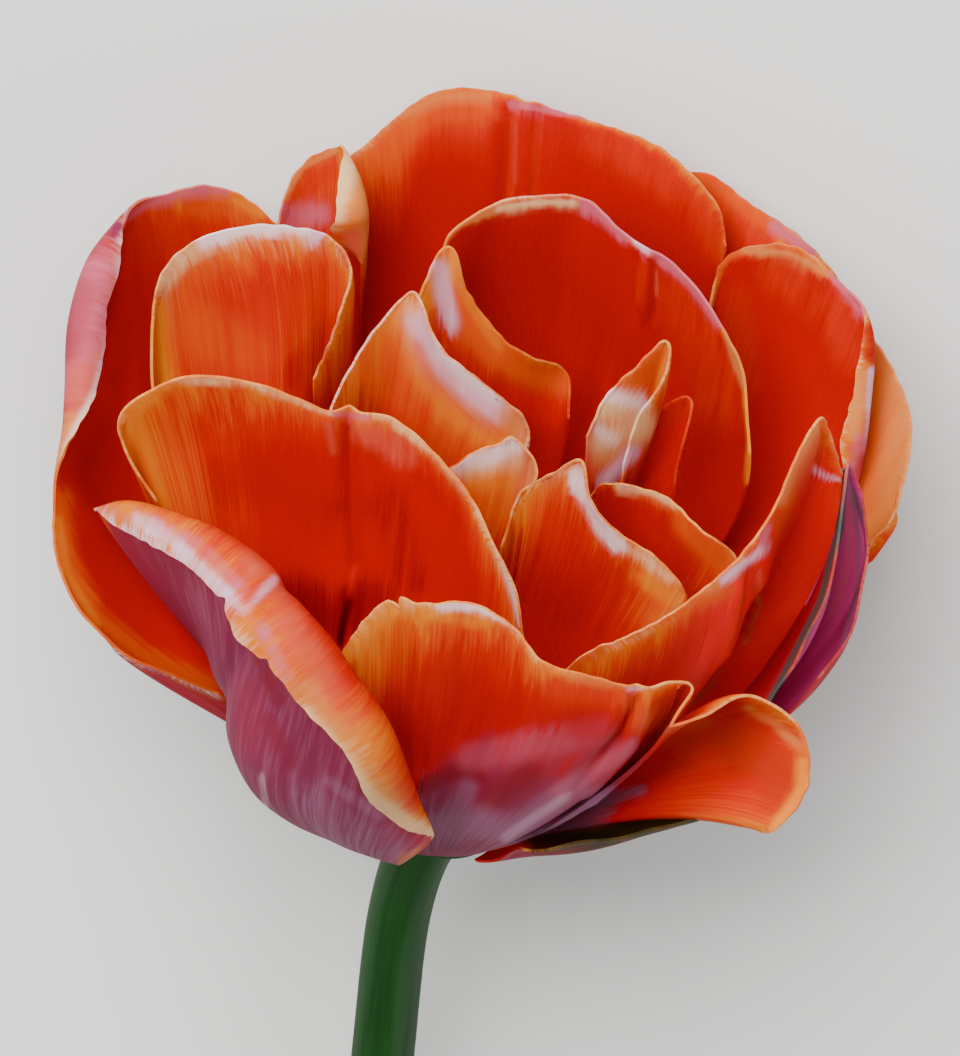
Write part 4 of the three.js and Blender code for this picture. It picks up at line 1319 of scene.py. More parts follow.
                (Tint.SCARLET, 2.11, 0.95, 39.8, 25.9, 37.2, 19.6, 33.2, 12.2),
                (Tint.BLUE_GREEN, 0.28, 0.9, 42.6, 34.5, 42.2, 29.1, 40.5, 21.7, 36.8, 14.3, 34.8, 10.5),
            ),
            margin=[
                (35, 10.5, 27, 30), (38, 15.5, 33, 20), (41, 22, 41, 10), (42.3, 29, 47, 5), (43, 36, 52, 0),
                (44.8, 32, 47, 0), (45.5, 26, 41, 5), (43.5, 18, 34, 20), (40, 13.5, 29, 30),
            ],
        ),
    ]


def middle_petals() -> List[Petal]:
    """The five petals between the outer whorl and the heart."""
    return [
        MiddlePetal(
            "inner_back_left", (-120, 6.3, 2.2), faces=-120, seed=31,
            inside=Zones(band=(5, 6, 8, 10, 12, 12), cream=(1.5, 2.5, 7, 8, 7, 3)),
            strokes=paint(Face.INSIDE,
                (Tint.ORANGE, 3.1, 0.5, -24.9, 50.1, -20.7, 48),
                (Tint.SCARLET, 1.61, 0.6, -15.5, 45.4, -12.8, 48, -10.7, 50.6),
                (Tint.FLAME, 2.48, 0.5, -17.6, 52.2, -12.3, 53.3),
                (Tint.YELLOW, 1.12, 0.75, -29.9, 52.2, -29.7, 48, -28.6, 45.1),
                (Tint.CREAM, 0.99, 0.7, -29.2, 54.8, -27.1, 57.7, -24.4, 59.1),
                (Tint.WHITE, 0.93, 0.95, -24.4, 59.6, -20.7, 60.7, -15.5, 61.3, -13.6, 60.8),
                (Tint.LILAC, 0.68, 0.95, -13.2, 59.6, -11.8, 60.8),
                (Tint.SALMON, 0.74, 0.8, -10.4, 60.4, -8.9, 57.3),
            ),
            margin=[
                (-13, 45, 48, 0), (-10, 51.5, 55, 0), (-9, 56.5, 60, 5), (-11.5, 60, 62, 10),
                (-15.5, 60.8, 63, 20),
                (-20, 60.8, 63, 25), (-25, 59.7, 61, 20), (-29, 56, 57, 10), (-30.2, 50, 51, 5),
                (-29.5, 41, 44, 5),
            ],
        ),
        MiddlePetal(
            "inner_left", (-40, 6.3, 2.2), spread=25, faces=-40, fan=10, seed=37, creases=[(0.54, 0.06, 0.6)],
            outside=Zones(band=(13, 14, 11, 6, 3, 3.5, 4, 4), cream=(1.5, 2.5, 2.5, 2, 2, 3.5, 4, 4)),
            columns=168,
            ridges=ridges(
                (0.9, -0.8, -9.4, 40.8, -9.2, 34.3, -8.7, 24.8), (1.2, 0.4, -7.6, 39.6, -6.8, 32.2),
                (1.2, 0.35, -11.3, 40.1, -10.7, 32.2),
            ),
            strokes=paint(Face.OUTSIDE,
                (Tint.SCARLET, 3.41, 0.75, -21.3, 34.3, -15.5, 35.4, -12.3, 32.2),
                # Painted shade in the hollow low down, behind the front-left petal's rolled strip.
                (Tint.CRIMSON, 2.79, 0.8, -14.4, 21.7, -10.7, 19.6, -7.1, 21.7),
                # Painted shade in the valley between the midrib and the right lobe.
                (Tint.CRIMSON, 1.86, 0.45, -4.9, 32.2, -2.8, 23.8),
                (Tint.SALMON, 1.36, 0.55, -8.5, 39.6, -6, 38.9, -3.4, 36.9),
                (Tint.SALMON, 0.62, 0.4, -11.3, 40.2, -10.7, 37.5),
                # Painted shade along the midrib's groove.
                (Tint.SCARLET, 0.5, 0.8, -9.5, 40.2, -9.2, 34.3, -8.7, 25.9),
                (Tint.YELLOW, 0.99, 0.75, -32.9, 38.5, -31.9, 42.2, -28.9, 44.2),
                (Tint.CREAM, 0.43, 0.6, -26, 44.8, -19.7, 44.6, -11.3, 41.5),
                (Tint.CREAM, 0.74, 0.7, -3.9, 40.2, 0.3, 37.5, 4.3, 32.4),
                (Tint.PINK, 0.37, 0.8, -10.6, 41.3, -7.1, 40.9),
                (Tint.WHITE, 0.56, 0.9, 4.5, 32, 6.6, 28, 8.2, 22.7, 9.2, 19.1),
                # Painted shadow in the gap where this petal meets the front one.
                (Tint.DARK, 0.43, 0.8, -9.2, 21.7, -10.2, 17.5),
            ),
            margin=[
                (-29.5, 32, 45, 20), (-33, 38, 52, 20), (-33, 41.5, 57, 20), (-28, 44.6, 61, 20),
                (-24, 45.1, 62, 15), (-18, 44, 62, 10), (-12.5, 41.5, 61, 5), (-9.7, 40.8, 61, 5),
                (-5, 40.4, 61, 5), (0, 37, 59, 5), (4, 32, 56, 5), (7.2, 26, 51, 5), (9, 21, 46, 5),
                (9.8, 16, 40, 5),
            ],
        ),
        MiddlePetal(
            "inner_back_right", (155, 6.3, 2.2), faces=150, seed=41,
            inside=Zones(band=(1, 0.8, 0.8, 0.6, 0.6, 0.8), cream=(0.8,), blush=(0, 0, 1, 1, 0, 0)),
            ridges=ridges(
                (0.6, -0.4, 22.2, 58, 22, 52.2), (0.6, 0.3, 23.2, 57.5, 23.1, 52.2),
                (0.6, 0.3, 21.5, 58, 21.2, 52.2),
            ),
            strokes=paint(Face.INSIDE,
                (Tint.SCARLET, 4.96, 0.5, 6.6, 55.4, 12.9, 53.3, 17.2, 44.8),
                # Painted sheen: a broad lighter wash over the petal's right half.
                (Tint.FLAME, 3.1, 0.5, 26.6, 53.3, 29.8, 48, 30.3, 42.7),
                # Painted highlights on the raised lines beside the crease.
                (Tint.FLAME, 0.5, 0.7, 21.7, 57.3, 21.4, 53.3),
                (Tint.SALMON, 0.31, 0.6, 22.9, 56.6, 23.1, 54.1),
                (Tint.PEACH, 0.5, 0.95, 0.3, 59.6, 2.2, 61.5, 6.6, 62.9),
                (Tint.CREAM, 0.5, 0.95, 6.6, 62.9, 10.8, 63.6, 14.5, 63.5),
                (Tint.PINK, 0.81, 0.95, 15.6, 63.2, 17.7, 62.1, 20.1, 60),
                (Tint.LILAC, 0.5, 0.9, 21.2, 59.4, 22, 58.5),
                (Tint.PINK, 0.56, 0.95, 22.9, 58.2, 26.6, 55.2, 29.8, 50.9),
                (Tint.PEACH, 0.43, 0.9, 30.6, 49.6, 32.4, 44.3),
                (Tint.YELLOW, 0.43, 0.9, 32.6, 43.3, 33.2, 38.5, 32.9, 34.3),
            ),
            margin=[
                (33, 37, 45, 0), (32, 45, 52, 0), (29.5, 51, 57, 0), (25.5, 56.8, 60, 0), (21, 59.6, 62, 0),
                (15.5, 63.6, 63, 0), (10, 63.8, 63, 0), (5, 63, 62, 0), (1, 60.3, 60, 0), (0, 56, 55, 0),
            ],
        ),
        MiddlePetal(
            "inner_right", (105, 6.3, 2.2), spread=15, faces=115, seed=43,
            inside=Zones(band=(1, 1, 1, 1, 1, 1), cream=(0.6,), blush=(0.6, 0.6, 0.3, 0)),
            outside=Zones(band=(3,), cream=(1.5,)),
            strokes=paint(Face.INSIDE,
                (Tint.FLAME, 2.17, 0.6, 36.1, 56.4, 41.9, 52.2, 44, 48),
                (Tint.FLAME, 1.86, 0.35, 31.4, 53.3, 32.4, 44.8),
                (Tint.ORANGE, 0.62, 0.9, 29.1, 55.9, 30.1, 58, 32.4, 58.7),
                (Tint.PEACH, 0.56, 0.9, 32.4, 58.7, 37.2, 58.1, 41.2, 56.1),
                (Tint.PINK, 0.56, 0.95, 41.9, 55.7, 44, 53.5, 44.7, 52),
            ) + paint(Face.OUTSIDE,
                (Tint.SCARLET, 0.99, 0.8, 45.4, 50.1, 45.6, 47.8),
                (Tint.PEACH, 0.99, 0.85, 44.7, 44.8, 44.1, 39.6),
                (Tint.LILAC, 0.5, 0.9, 45.8, 45.7, 45.6, 40.6, 45.2, 37.5),
                (Tint.PINK, 0.81, 0.7, 44.5, 38.5, 44, 34.3),
            ),
            margin=[
                (43, 33, 36, 0), (45, 38, 41, 0, -120, 3), (46, 44, 46, 5, -130, 3),
                (45.8, 50, 51, 12, -120, 2.5),
                (43, 54.5, 54, 18), (38.5, 58.3, 56, 18), (34, 59, 55, 15), (30, 57.5, 52, 10),
                (28, 52, 46, 5),
            ],
        ),
        MiddlePetal(
            "inner_front_right", (55, 6.3, 2.2), spread=20, faces=60, seed=47, creases=[(0.48, 0.06, 0.6)],
            outside=Zones(band=(5, 5, 4, 1.5, 2.5, 2), cream=(2.5, 2.5, 2, 1, 1, 1)), columns=168,
            ridges=ridges(
                (0.45, 0.35, 32.1, 23.3, 31.4, 19.6, 30, 15.4),
                (0.45, -0.35, 33.2, 24.6, 32.9, 21.7, 31.7, 17.5),
                (0.45, 0.35, 34.1, 25.9, 34.1, 21.7, 32.7, 17.5),
            ),
            strokes=paint(Face.OUTSIDE,
                # Painted light: bright red over the petal's shaded lower right.
                (Tint.RED, 6.82, 0.95, 39.5, 30.1, 38.7, 23.8, 34, 16.4),
                # Painted shade at the bottom of the bowl between this petal and the front one.
                (Tint.CRIMSON, 2.48, 0.4, 27.7, 11.2, 34, 14.1, 38.2, 18),
                (Tint.ORANGE, 1.12, 0.8, 14.2, 15.2, 19.3, 18.5, 25.6, 21.2, 30, 22.9),
                (Tint.PEACH, 0.56, 0.6, 17.2, 18.3, 23.5, 21.5, 29.4, 23.3),
                # Painted highlights on the two raised lines of the crease, with painted shade in the groove
                # between them.
                (Tint.FLAME, 0.31, 0.9, 32.1, 22.7, 31.5, 19.6, 30.6, 16.2),
                (Tint.SALMON, 0.31, 0.7, 33.8, 24.6, 33.9, 21.2, 32.5, 17.3),
                (Tint.SCARLET, 0.31, 0.7, 33.2, 24.8, 33.2, 21.7, 32.1, 18.5),
                (Tint.ORANGE, 1.12, 0.9, 35.6, 30.1, 36.9, 33.8, 38.7, 37.5, 40.3, 40.1),
                (Tint.PEACH, 0.62, 0.8, 35.9, 32.2, 37.4, 36.2, 39.5, 39.8),
                (Tint.FLAME, 0.99, 0.7, 34.8, 27.5, 35.9, 30.6),
                (Tint.LILAC, 0.46, 0.9, 30, 23.9, 32.3, 25.7, 34.4, 27.3),
                (Tint.PINK, 0.19, 0.6, 31.4, 24.6, 33.5, 26.1),
                (Tint.PINK, 0.43, 0.95, 34.4, 27.2, 34.1, 28, 34.6, 29.3),
                (Tint.LILAC, 0.25, 0.95, 39.5, 35.5, 40.8, 34.8, 42.2, 34.5),
            ),
            margin=[
                (12.5, 13.5, 34, 0), (16, 16.5, 38, 0), (20, 18, 41, 0), (25, 20.5, 44, 0), (30, 24, 47, 0),
                (34.3, 28.5, 50, 0), (37, 36, 54, 0), (40.2, 41, 56, 0), (42.5, 35, 47, 0), (43.5, 28, 38, 0),
                (42, 20, 29, 0),
            ],
        ),
    ]


def heart_petals() -> List[Petal]:
    """The seven small petals in the bloom's heart."""
    return [
        HeartPetal(
            "heart_left", (-90, 4.9, 3.7), spread=22, rise=42, faces=-60, seed=53,
            outside=Zones(
                band=(10, 10, 10, 12, 14, 14, 14), cream=(1, 1, 2, 5, 5, 5, 4), blush=(0, 0, 0, 0, 0.6, 0.6),
            ),
            inside=Zones(band=(12,), cream=(3,), blush=(0.5,)),
            strokes=paint(Face.OUTSIDE,
                (Tint.SCARLET, 2.48, 0.6, -10.2, 42.7, -7.1, 40.6, -0.7, 37.5),
                (Tint.ORANGE, 3.1, 0.5, -7.1, 48, -3.9, 44.8, 1.4, 39.6),
                (Tint.YELLOW, 1.86, 0.6, -3.4, 52.2, -1.8, 46.9, 1.4, 42.2, 6.6, 38.5),
                (Tint.PEACH, 0.99, 0.6, -3.1, 53.3, -2.2, 48.5, -0.1, 44.8),
                (Tint.SALMON, 0.37, 0.7, -1.8, 49.6, -0.5, 45.9, 2.6, 42.5),
                (Tint.LILAC, 1.98, 0.85, -1.4, 51.4, 0.3, 47.8, 3.1, 44.8, 6.2, 42.3),
                (Tint.WHITE, 1.12, 0.95, 0.9, 47.8, 3.5, 45.7, 6.6, 43.2),
                (Tint.ORANGE, 0.74, 0.6, -2, 48.5, -0.5, 45.1, 3.1, 41.5, 6.6, 39.4),
                (Tint.YELLOW, 0.99, 0.85, -2.6, 53.7, -2, 52.8),
                (Tint.PEACH, 1.61, 0.8, 7.9, 41.5, 8.9, 39.6),
            ),
            margin=[
                (-12.5, 38, 48, 0), (-9, 46, 55, 0), (-5.5, 51, 59, 0), (-2.5, 54, 62, 0),
                (-0.4, 50.2, 60, 0),
                (1.6, 47.6, 58.5, 0), (4, 45.4, 56.5, 0), (6.6, 43.1, 54, 0), (8.8, 41, 52, 0),
                (9.4, 38.8, 49.5, 0),
                (8.5, 36, 46, 0),
            ],
        ),
        HeartPetal(
            "heart_back", (178, 4.9, 3.7), spread=22, faces=180, seed=59,
            inside=Zones(band=(0.5, 1, 4, 6, 7, 7, 7), cream=(0.2, 0.2, 0.4, 0.8, 0.8, 1)),
            strokes=paint(Face.INSIDE,
                (Tint.SCARLET, 3.1, 0.8, 6.6, 41.7, 10.3, 42.7, 12.9, 42.7),
                # Painted light: brightens the shaded lower part of the petal.
                (Tint.RED, 2.48, 0.5, 8.7, 42.9, 11.9, 42.2),
                (Tint.ORANGE, 1.49, 0.95, 2.6, 54.3, 4.5, 50.1, 8.7, 46.1, 14, 44.3),
                (Tint.ORANGE, 1.86, 0.8, 3.5, 50.1, 6.6, 48),
                (Tint.YELLOW, 1.36, 0.9, -1.4, 52.9, -0.1, 54.8, 1.4, 57.5),
                (Tint.YELLOW, 0.62, 0.5, 2.2, 55.9, 4, 52.2, 6.6, 48.5),
                (Tint.LILAC, 1.05, 0.85, 0.2, 56.6, 0.6, 54.1, 1.4, 50.9),
            ),
            margin=[
                (14, 41, 43, 0), (13.5, 45.5, 47, 0), (10, 47.5, 50, 0), (6, 50.5, 53, 0), (3, 54, 57, 0),
                (1.2, 58.5, 62, 0), (-1, 56, 59, 0), (-4, 50, 52, 0),
            ],
        ),
        HeartPetal(
            "heart_middle", (-25, 4.9, 3.7), rise=42, faces=0, seed=61,
            outside=Zones(band=(9,), cream=(4,)),
            strokes=paint(Face.OUTSIDE,
                (Tint.ORANGE, 1.86, 0.6, 4.5, 32.2, 7.2, 31.7),
                (Tint.YELLOW, 1.49, 0.5, 4, 34.5, 7.9, 34.8),
                (Tint.SALMON, 1.86, 0.6, 9.6, 36.2, 9.8, 32.2),
                (Tint.CREAM, 1.24, 0.6, 2.6, 35.6, 7.9, 36.6),
                (Tint.WHITE, 1.05, 0.95, 1.9, 36.4, 5.6, 36.9, 8.1, 38.2),
            ),
            margin=[
                (0, 35, 48, 0), (3, 36.6, 50, 0), (6, 38, 52, 0), (8, 38.8, 53, 0), (10, 35.5, 50, 0),
                (9.5, 32, 46, 0),
            ],
        ),
        HeartPetal(
            "heart_front", (25, 4.9, 3.7), spread=18, faces=20, seed=67,
            outside=Zones(band=(4, 4, 5, 6, 6, 5), cream=(1, 1.5, 3.5, 5, 5, 4)),
            strokes=paint(Face.OUTSIDE,
                (Tint.SCARLET, 2.79, 0.6, 9.8, 25.9, 12.9, 21.7, 18.2, 20.4),
                (Tint.YELLOW, 1.12, 0.65, 21.4, 24.3, 24, 22.5, 26, 21.7),
                (Tint.SALMON, 0.74, 0.5, 10.8, 33.8, 12.5, 34.8, 14.8, 35.8),
                (Tint.CREAM, 0.62, 0.7, 19.3, 27.7, 22.4, 25.7, 24.7, 24),
                (Tint.WHITE, 0.81, 0.95, 14.4, 34.7, 16.1, 32.2, 17.4, 29.4, 19.3, 27.5),
            ),
            margin=[
                (7, 27, 41, 0), (9, 33, 47, 0), (12, 35.2, 50, 0), (15.3, 36.5, 53, 0), (16.3, 32, 49, 0),
                (19, 28.8, 46, 0), (23, 26, 44, 0), (26, 22.5, 41, 0), (24, 19, 36, 0),
            ],
        ),
        HeartPetal(
            "heart_twisted", (100, 4.9, 3.7), spread=10, faces=40, seed=71,
            outside=Zones(band=(5,), cream=(1.5,)),
            inside=Zones(band=(5,), cream=(1.5,)),
            strokes=paint(None,
                (Tint.SALMON, 1.86, 0.8, 16.1, 38.5, 17.2, 35.4),
                (Tint.SCARLET, 0.93, 0.8, 17.6, 32.4, 18.4, 33.1),
                (Tint.FLAME, 0.74, 0.9, 15.9, 41.7, 16.2, 39.4),
                (Tint.ORANGE, 1.61, 0.85, 23.1, 47.8, 21.4, 45.7, 19.1, 43.6),
                (Tint.CREAM, 1.86, 0.8, 16.9, 42.2, 20.1, 41.7, 21.4, 40.1, 17.7, 38.5),
                (Tint.WHITE, 0.81, 0.8, 17.2, 43.6, 19.5, 42.9, 21.4, 42.5),
                (Tint.WHITE, 0.62, 0.7, 16.9, 39.6, 18.7, 38.5),
                (Tint.PEACH, 0.93, 0.6, 17.2, 36.4, 19.8, 38),
                (Tint.LILAC, 0.81, 0.85, 17.4, 34.1, 19.1, 35.8, 20.5, 37.3),
            ),
            margin=[
                (15.6, 39, 50, 0), (17.5, 43, 54, 0), (21, 46.5, 58, 0), (24, 48.7, 60, 0),
                (23.3, 44.5, 56, 0),
                (21, 40.5, 52, 0), (19.7, 36, 47, 0),
            ],
        ),
        HeartPetal(
            "heart_right", (65, 4.9, 3.7), spread=15, faces=50, seed=73,
            outside=Zones(band=(1.5, 1.5, 2.5, 6, 9), cream=(0.8,)),
            strokes=paint(Face.OUTSIDE,
                (Tint.SCARLET, 3.1, 0.85, 17.7, 31.7, 21.4, 29.1, 25.6, 26.9),
                (Tint.ORANGE, 1.49, 0.9, 26.4, 29.7, 28.7, 27.2, 31.1, 24.3),
                (Tint.CREAM, 0.56, 0.95, 19.3, 33.6, 22.2, 33.3, 25.2, 32),
                (Tint.PINK, 0.43, 0.7, 19.8, 33.9, 23.5, 33.6),
            ),
            margin=[
                (15.5, 32, 42, 0), (17.5, 33.8, 45, 0), (21, 33.2, 46, 0), (24.5, 32, 46, 0),
                (28, 29.2, 45, 0),
                (31.3, 26.3, 42, 0), (31, 22, 37, 0),
            ],
        ),
        HeartPetal(
            "heart_back_right", (135, 4.9, 3.7), spread=15, faces=130, seed=79,
            inside=Zones(band=(0.5,), cream=(0.2,)), outside=Zones(band=(0.5,), cream=(0.2,)),
            strokes=paint(None,
                (Tint.SCARLET, 5.58, 0.8, 22.4, 35.4, 24.5, 39.6),
                # Painted light: lifts the shaded petal from scarlet towards a brighter red.
                (Tint.RED, 5.58, 0.45, 22.4, 35.4, 24.5, 39.6),
                (Tint.FLAME, 0.62, 0.5, 23.9, 40.6, 26.1, 42.1),
            ),
            margin=[
                (25, 34, 42, 0), (26, 39, 48, 0), (26.2, 42.8, 52, 0), (23, 41.5, 50, 0), (20, 39, 47, 0),
                (18, 33, 41, 0),
            ],
        ),
    ]


@dataclass
class Bloom:
    """The whole bloom: its petals in their whorls."""

    inside: PetalFinish = PetalFinish(Face.INSIDE)
    outside: PetalFinish = PetalFinish(Face.OUTSIDE)

    def build(self) -> None:
        """Models every petal and dresses it."""
        inside = self.inside.material("petal_skin_inside")
        outside = self.outside.material("petal_skin_outside")
        for petal in outer_petals() + middle_petals() + heart_petals():
            petal.build(inside, outside)


@dataclass
class Heart:
    """The pistil with its three-lobed stigma, and the six stamens round it.

    The pistil's outline has rows of a height, a radius and how deep its lobes are there, and a stamen's rows
    have a height and a radius. The groove of an anther is as deep as this share of its radius, and it sets in
    between the two heights.
    """

    outline: List[Row] = field(default_factory=lambda: [
        (3.9, 1.8, 0.08), (5, 2.4, 0.1), (11, 2.6, 0.12), (15, 2.1, 0.1), (16.4, 1.9, 0.15),
        (17.6, 2.8, 0.35), (18.8, 2.9, 0.4), (19.4, 1.5, 0.3),
    ])
    stamen: List[Row] = field(default_factory=lambda: [
        (3.75, 0.4), (6, 0.45), (9.5, 0.4), (10, 0.9), (12, 1.1), (15.5, 1), (17, 0.6),
    ])
    azimuths: Row = (-150, -100, -45, 20, 85, 145)
    foot: float = 3.9
    lean: float = 0.02
    groove: float = 0.22
    groove_heights: Pair = (9.6, 10.4)
    girth: float = 2.5
    sides: int = 48
    rings: int = 60
    stamen_sides: int = 24
    stamen_rings: int = 39
    ovary: GreenFinish = GreenFinish("#8f9c3c", "#b9c25e", "#d8dca0", (0.5, 6.0), 0.5, 0.2, 0.05)
    pollen: DustFinish = DustFinish("#1c1218", "#4b3a3c")

    def pistil(self) -> None:
        """Models the pistil as one closed body."""
        places = np.arange(len(self.outline))
        t = np.linspace(0, places[-1], self.rings + 1)
        height, radius, lobe = (np.interp(t, places, column) for column in zip(*self.outline))
        a = np.linspace(0, 2 * np.pi, self.sides + 1)[:, None]
        r = radius * (1 + lobe * np.cos(3 * a))
        height = height + 0 * a
        points = np.stack([r * np.cos(a), r * np.sin(a), height], axis=-1)
        whole = np.ones_like(height)
        fibre = np.stack([self.girth * a * whole, height, whole, whole], axis=-1)
        skin = self.ovary.material("ovary_skin")
        piece = shaped_grid("pistil_body", laid_down(points), [skin], {"fibre": fibre})
        close_tube(piece)
        settle(piece, "pistil")

    def stamens(self) -> None:
        """Models each stamen, its filament and its grooved anther in one body."""
        dust = self.pollen.material("anther_pollen")
        places = np.arange(len(self.stamen))
        t = np.linspace(0, places[-1], self.stamen_rings + 1)
        height, radius = (np.interp(t, places, column) for column in zip(*self.stamen))
        a = np.linspace(0, 2 * np.pi, self.stamen_sides + 1)[:, None]
        groove = self.groove * smoothstep(height, *self.groove_heights) * np.cos(2 * a) ** 2
        grooved = (radius * (1 - groove)).T
        for k, azimuth in enumerate(self.azimuths, 1):
            out = facing(np.array(azimuth))
            path = out * (self.foot + self.lean * height)[:, None] + np.array([0, 0, 1]) * height[:, None]
            points = laid_down(tube_points(path, grooved, self.stamen_sides))
            piece = shaped_grid(f"stamen_{k}_body", points, [dust], {})
            close_tube(piece)
            settle(piece, f"stamen_{k}")

    def build(self) -> None:
        """Models the pistil and the stamens."""
        self.pistil()
        self.stamens()


@dataclass
class Stem:
    """The curved stem with the receptacle that the petals stand on, grown as one piece.

    The path is in millimetres from the bloom's base. The receptacle has rows of a place along the bloom's
    axis and a radius. A row of ribs is how many go round the stem, how high they are and where they start.
    """

    path: List[Row] = field(default_factory=lambda: [
        (0, 0.5, 0.2), (-0.6, -2.5, -1), (-1.9, -6, -2.4), (-3.2, -10.5, -4.1), (-4.4, -17, -6.1),
        (-5.8, -32, -9.2), (-8.2, -60, -11.4), (-10.5, -95, -12), (-10, -140, -12.2), (-7, -190, -13.2),
        (-5, -240, -14.9), (-5, -284, -16.82),
    ])
    receptacle: List[Row] = field(default_factory=lambda: [
        (3.4, 2.6), (3.1, 3.6), (2.2, 5), (1, 6.2), (0, 6.7), (-1.5, 6.4),
    ])
    ribs: Tuple[Row, ...] = ((5, 0.06, 0), (9, 0.03, 1))
    radius: Pair = (3.3, 3.8)
    neck: float = 2.2
    neck_length: float = 90
    sides: int = 48
    rings: int = 220
    finish: GreenFinish = GreenFinish(
        "#062a02", "#0d3a06", "#2f6a44", (0.7, 30.0), 0.5, 0.12, 0.04, base="#2f5a20", base_share=0.2
    )

    def middle(self) -> np.ndarray:
        """The stem's middle line, from under the bloom to its cut end, in millimetres."""
        return smooth_path(self.path, self.rings + 1) + BLOOM_AT

    def plain_radius(self, t: Union[float, np.ndarray]) -> Union[float, np.ndarray]:
        """The radius at a share of the stem's length, without the receptacle's flare."""
        return self.radius[0] + (self.radius[1] - self.radius[0]) * t

    def build(self) -> None:
        """Models the stem from its cut end to the receptacle."""
        t = np.linspace(0, 1, self.rings + 1)[1:]
        heads = np.array(self.receptacle)
        axis = np.array([0, math.cos(BLOOM_RISE), math.sin(BLOOM_RISE)])
        path = np.vstack([axis * heads[:, :1] + BLOOM_AT, self.middle()[1:]])[::-1]
        flared = self.plain_radius(t) + self.neck * np.exp(-t * self.neck_length)
        a = np.linspace(0, 2 * np.pi, self.sides + 1)
        radii = np.concatenate([heads[:, 1], flared])[::-1, None]
        for count, height, start in self.ribs:
            radii = radii + height * np.cos(count * a + start)
        points = tube_points(path, radii, self.sides)
        points[..., 2] = np.maximum(points[..., 2], 0.0)
        run = run_along(path)
        along, around = np.meshgrid(run, a * self.radius[0])
        fibre = np.stack([around, along, 1 - along / run[-1], np.ones_like(along)], axis=-1)
        piece = shaped_grid("stem_body", points, [self.finish.material("waxed_stem_skin")], {"fibre": fibre})
        close_tube(piece)
        settle(piece, "stem")


@dataclass
class Leaf:
    """A leaf that clasps the stem from the side and turns its inner face up as it leaves it.

    The clasp is how far along the flower it stands, and the side is -1 for the left or 1 for the right. The
    midrib starts at the stem's skin. The widths and the turns, in degrees to each side, are spread evenly
    along it.
    The waves run along the margins, and the channel lies along the midrib.
    """

    name: str
    clasp: float
    side: int
    midrib: List[Row]
    width: Row
    turn: Row = (80, 60, 42, 32, 27, 24, 22, 18, 10)
    blade: float = 0.7
    packed_blade: float = 1.0
    gap: float = 0.3
    wave: float = 1.2
    wave_turns: Pair = (9.0, 2.0)
    channel: float = 0.5
    channel_width: float = 1.6
    upright_from: Pair = (0.04, 0.42)
    upright: float = math.radians(75)
    fibre_spread: float = 0.8
    fibre_start: float = 40
    columns: int = 64
    rows: int = 200

    def surface(self, stem: Stem) -> Tuple[np.ndarray, np.ndarray]:
        """The leaf's middle surface.

        Args:
            stem: the stem that it clasps.

        Returns:
            The points in the lying flower's millimetres, and for each what the fibre attribute holds.
        """
        t = (stem.path[0][1] - self.clasp) / (stem.path[0][1] - stem.path[-1][1])
        middle = stem.middle()
        at = middle[int(round(t * (len(middle) - 1)))]
        away = np.array([self.side, 0, 0])
        out = stem.plain_radius(t) + self.gap + self.packed_blade / 2
        curve = smooth_path(self.midrib, self.rows + 1) + at + away * out
        s = np.linspace(0, 1, self.rows + 1)
        x = np.linspace(-1, 1, self.columns + 1)[:, None]
        ahead = unit(np.gradient(curve, axis=0))
        rising = smoothstep(s, *self.upright_from)
        face = (self.upright * rising)[:, None]
        inward = -away * np.cos(face) + np.array([0, 0, 1]) * np.sin(face)
        inward = unit(inward - ahead * np.sum(inward * ahead, axis=1, keepdims=True))
        right = np.cross(ahead, inward)
        turn = np.radians(spline(self.turn, s))
        width = spline(self.width, s)
        radius = width / turn
        wave_along, wave_across = self.wave_turns
        height = radius * (1 - np.cos(turn * x))
        height = height + self.wave * x * x * np.sin(wave_along * s + wave_across * x) * rising
        height = height - self.channel * np.exp(-((x * width / self.channel_width) ** 2)) * rising
        grid = curve + right * (radius * np.sin(turn * x))[..., None] + inward * height[..., None]
        grid = lift(grid, np.array([0, 0, 1.0]), 0.0, self.blade / 2)
        across = x * width * self.fibre_spread + self.fibre_start
        share = np.broadcast_to(s, across.shape)
        return grid, np.stack([across, share * run_along(curve)[-1], share, np.ones_like(across)], axis=-1)

    def build(self, stem: Stem, material: bpy.types.Material) -> None:
        """Models the leaf as a closed thin blade.

        Args:
            stem: the stem that it clasps.
            material: its finish.
        """
        grid, fibre = self.surface(stem)
        piece = shaped_grid(self.name + "_blade", grid, [material], {"fibre": fibre})
        thicken(piece, self.blade)
        settle(piece, self.name)


@dataclass
class Foliage:
    """The two leaves of the cut stem."""

    finish: GreenFinish = GreenFinish(
        "#24541f", "#35702c", "#6f9678", (0.9, 60.0), 0.48, 0.35, 0.12, base="#8faa68", base_share=0.5
    )

    def build(self, stem: Stem) -> None:
        """Models both leaves on their stem."""
        skin = self.finish.material("waxed_leaf_skin")
        lower = Leaf(
            "lower_leaf", -240, -1, width=(6.2, 9.5, 14, 17, 17.5, 15.5, 11.5, 6.2, 0.8), midrib=[
                (0, 0, 0), (-0.9, 8, 0.3), (-4.5, 20, 1.5), (-13, 40, 5), (-26, 66, 9), (-39, 96, 8.5),
                (-49, 126, 2), (-54, 148, -5),
            ],
        )
        upper = Leaf(
            "upper_leaf", -158, 1, width=(6.2, 8.5, 11.5, 13, 13, 11.5, 8.3, 4.5, 0.8), midrib=[
                (0, 0, 0), (0.9, 7, 0.3), (4.5, 17, 1.5), (11, 32, 4.5), (20, 52, 7), (29, 72, 5),
                (36, 90, -1.5), (39, 101, -6.5),
            ],
        )
        for leaf in (lower, upper):
            leaf.build(stem, skin)


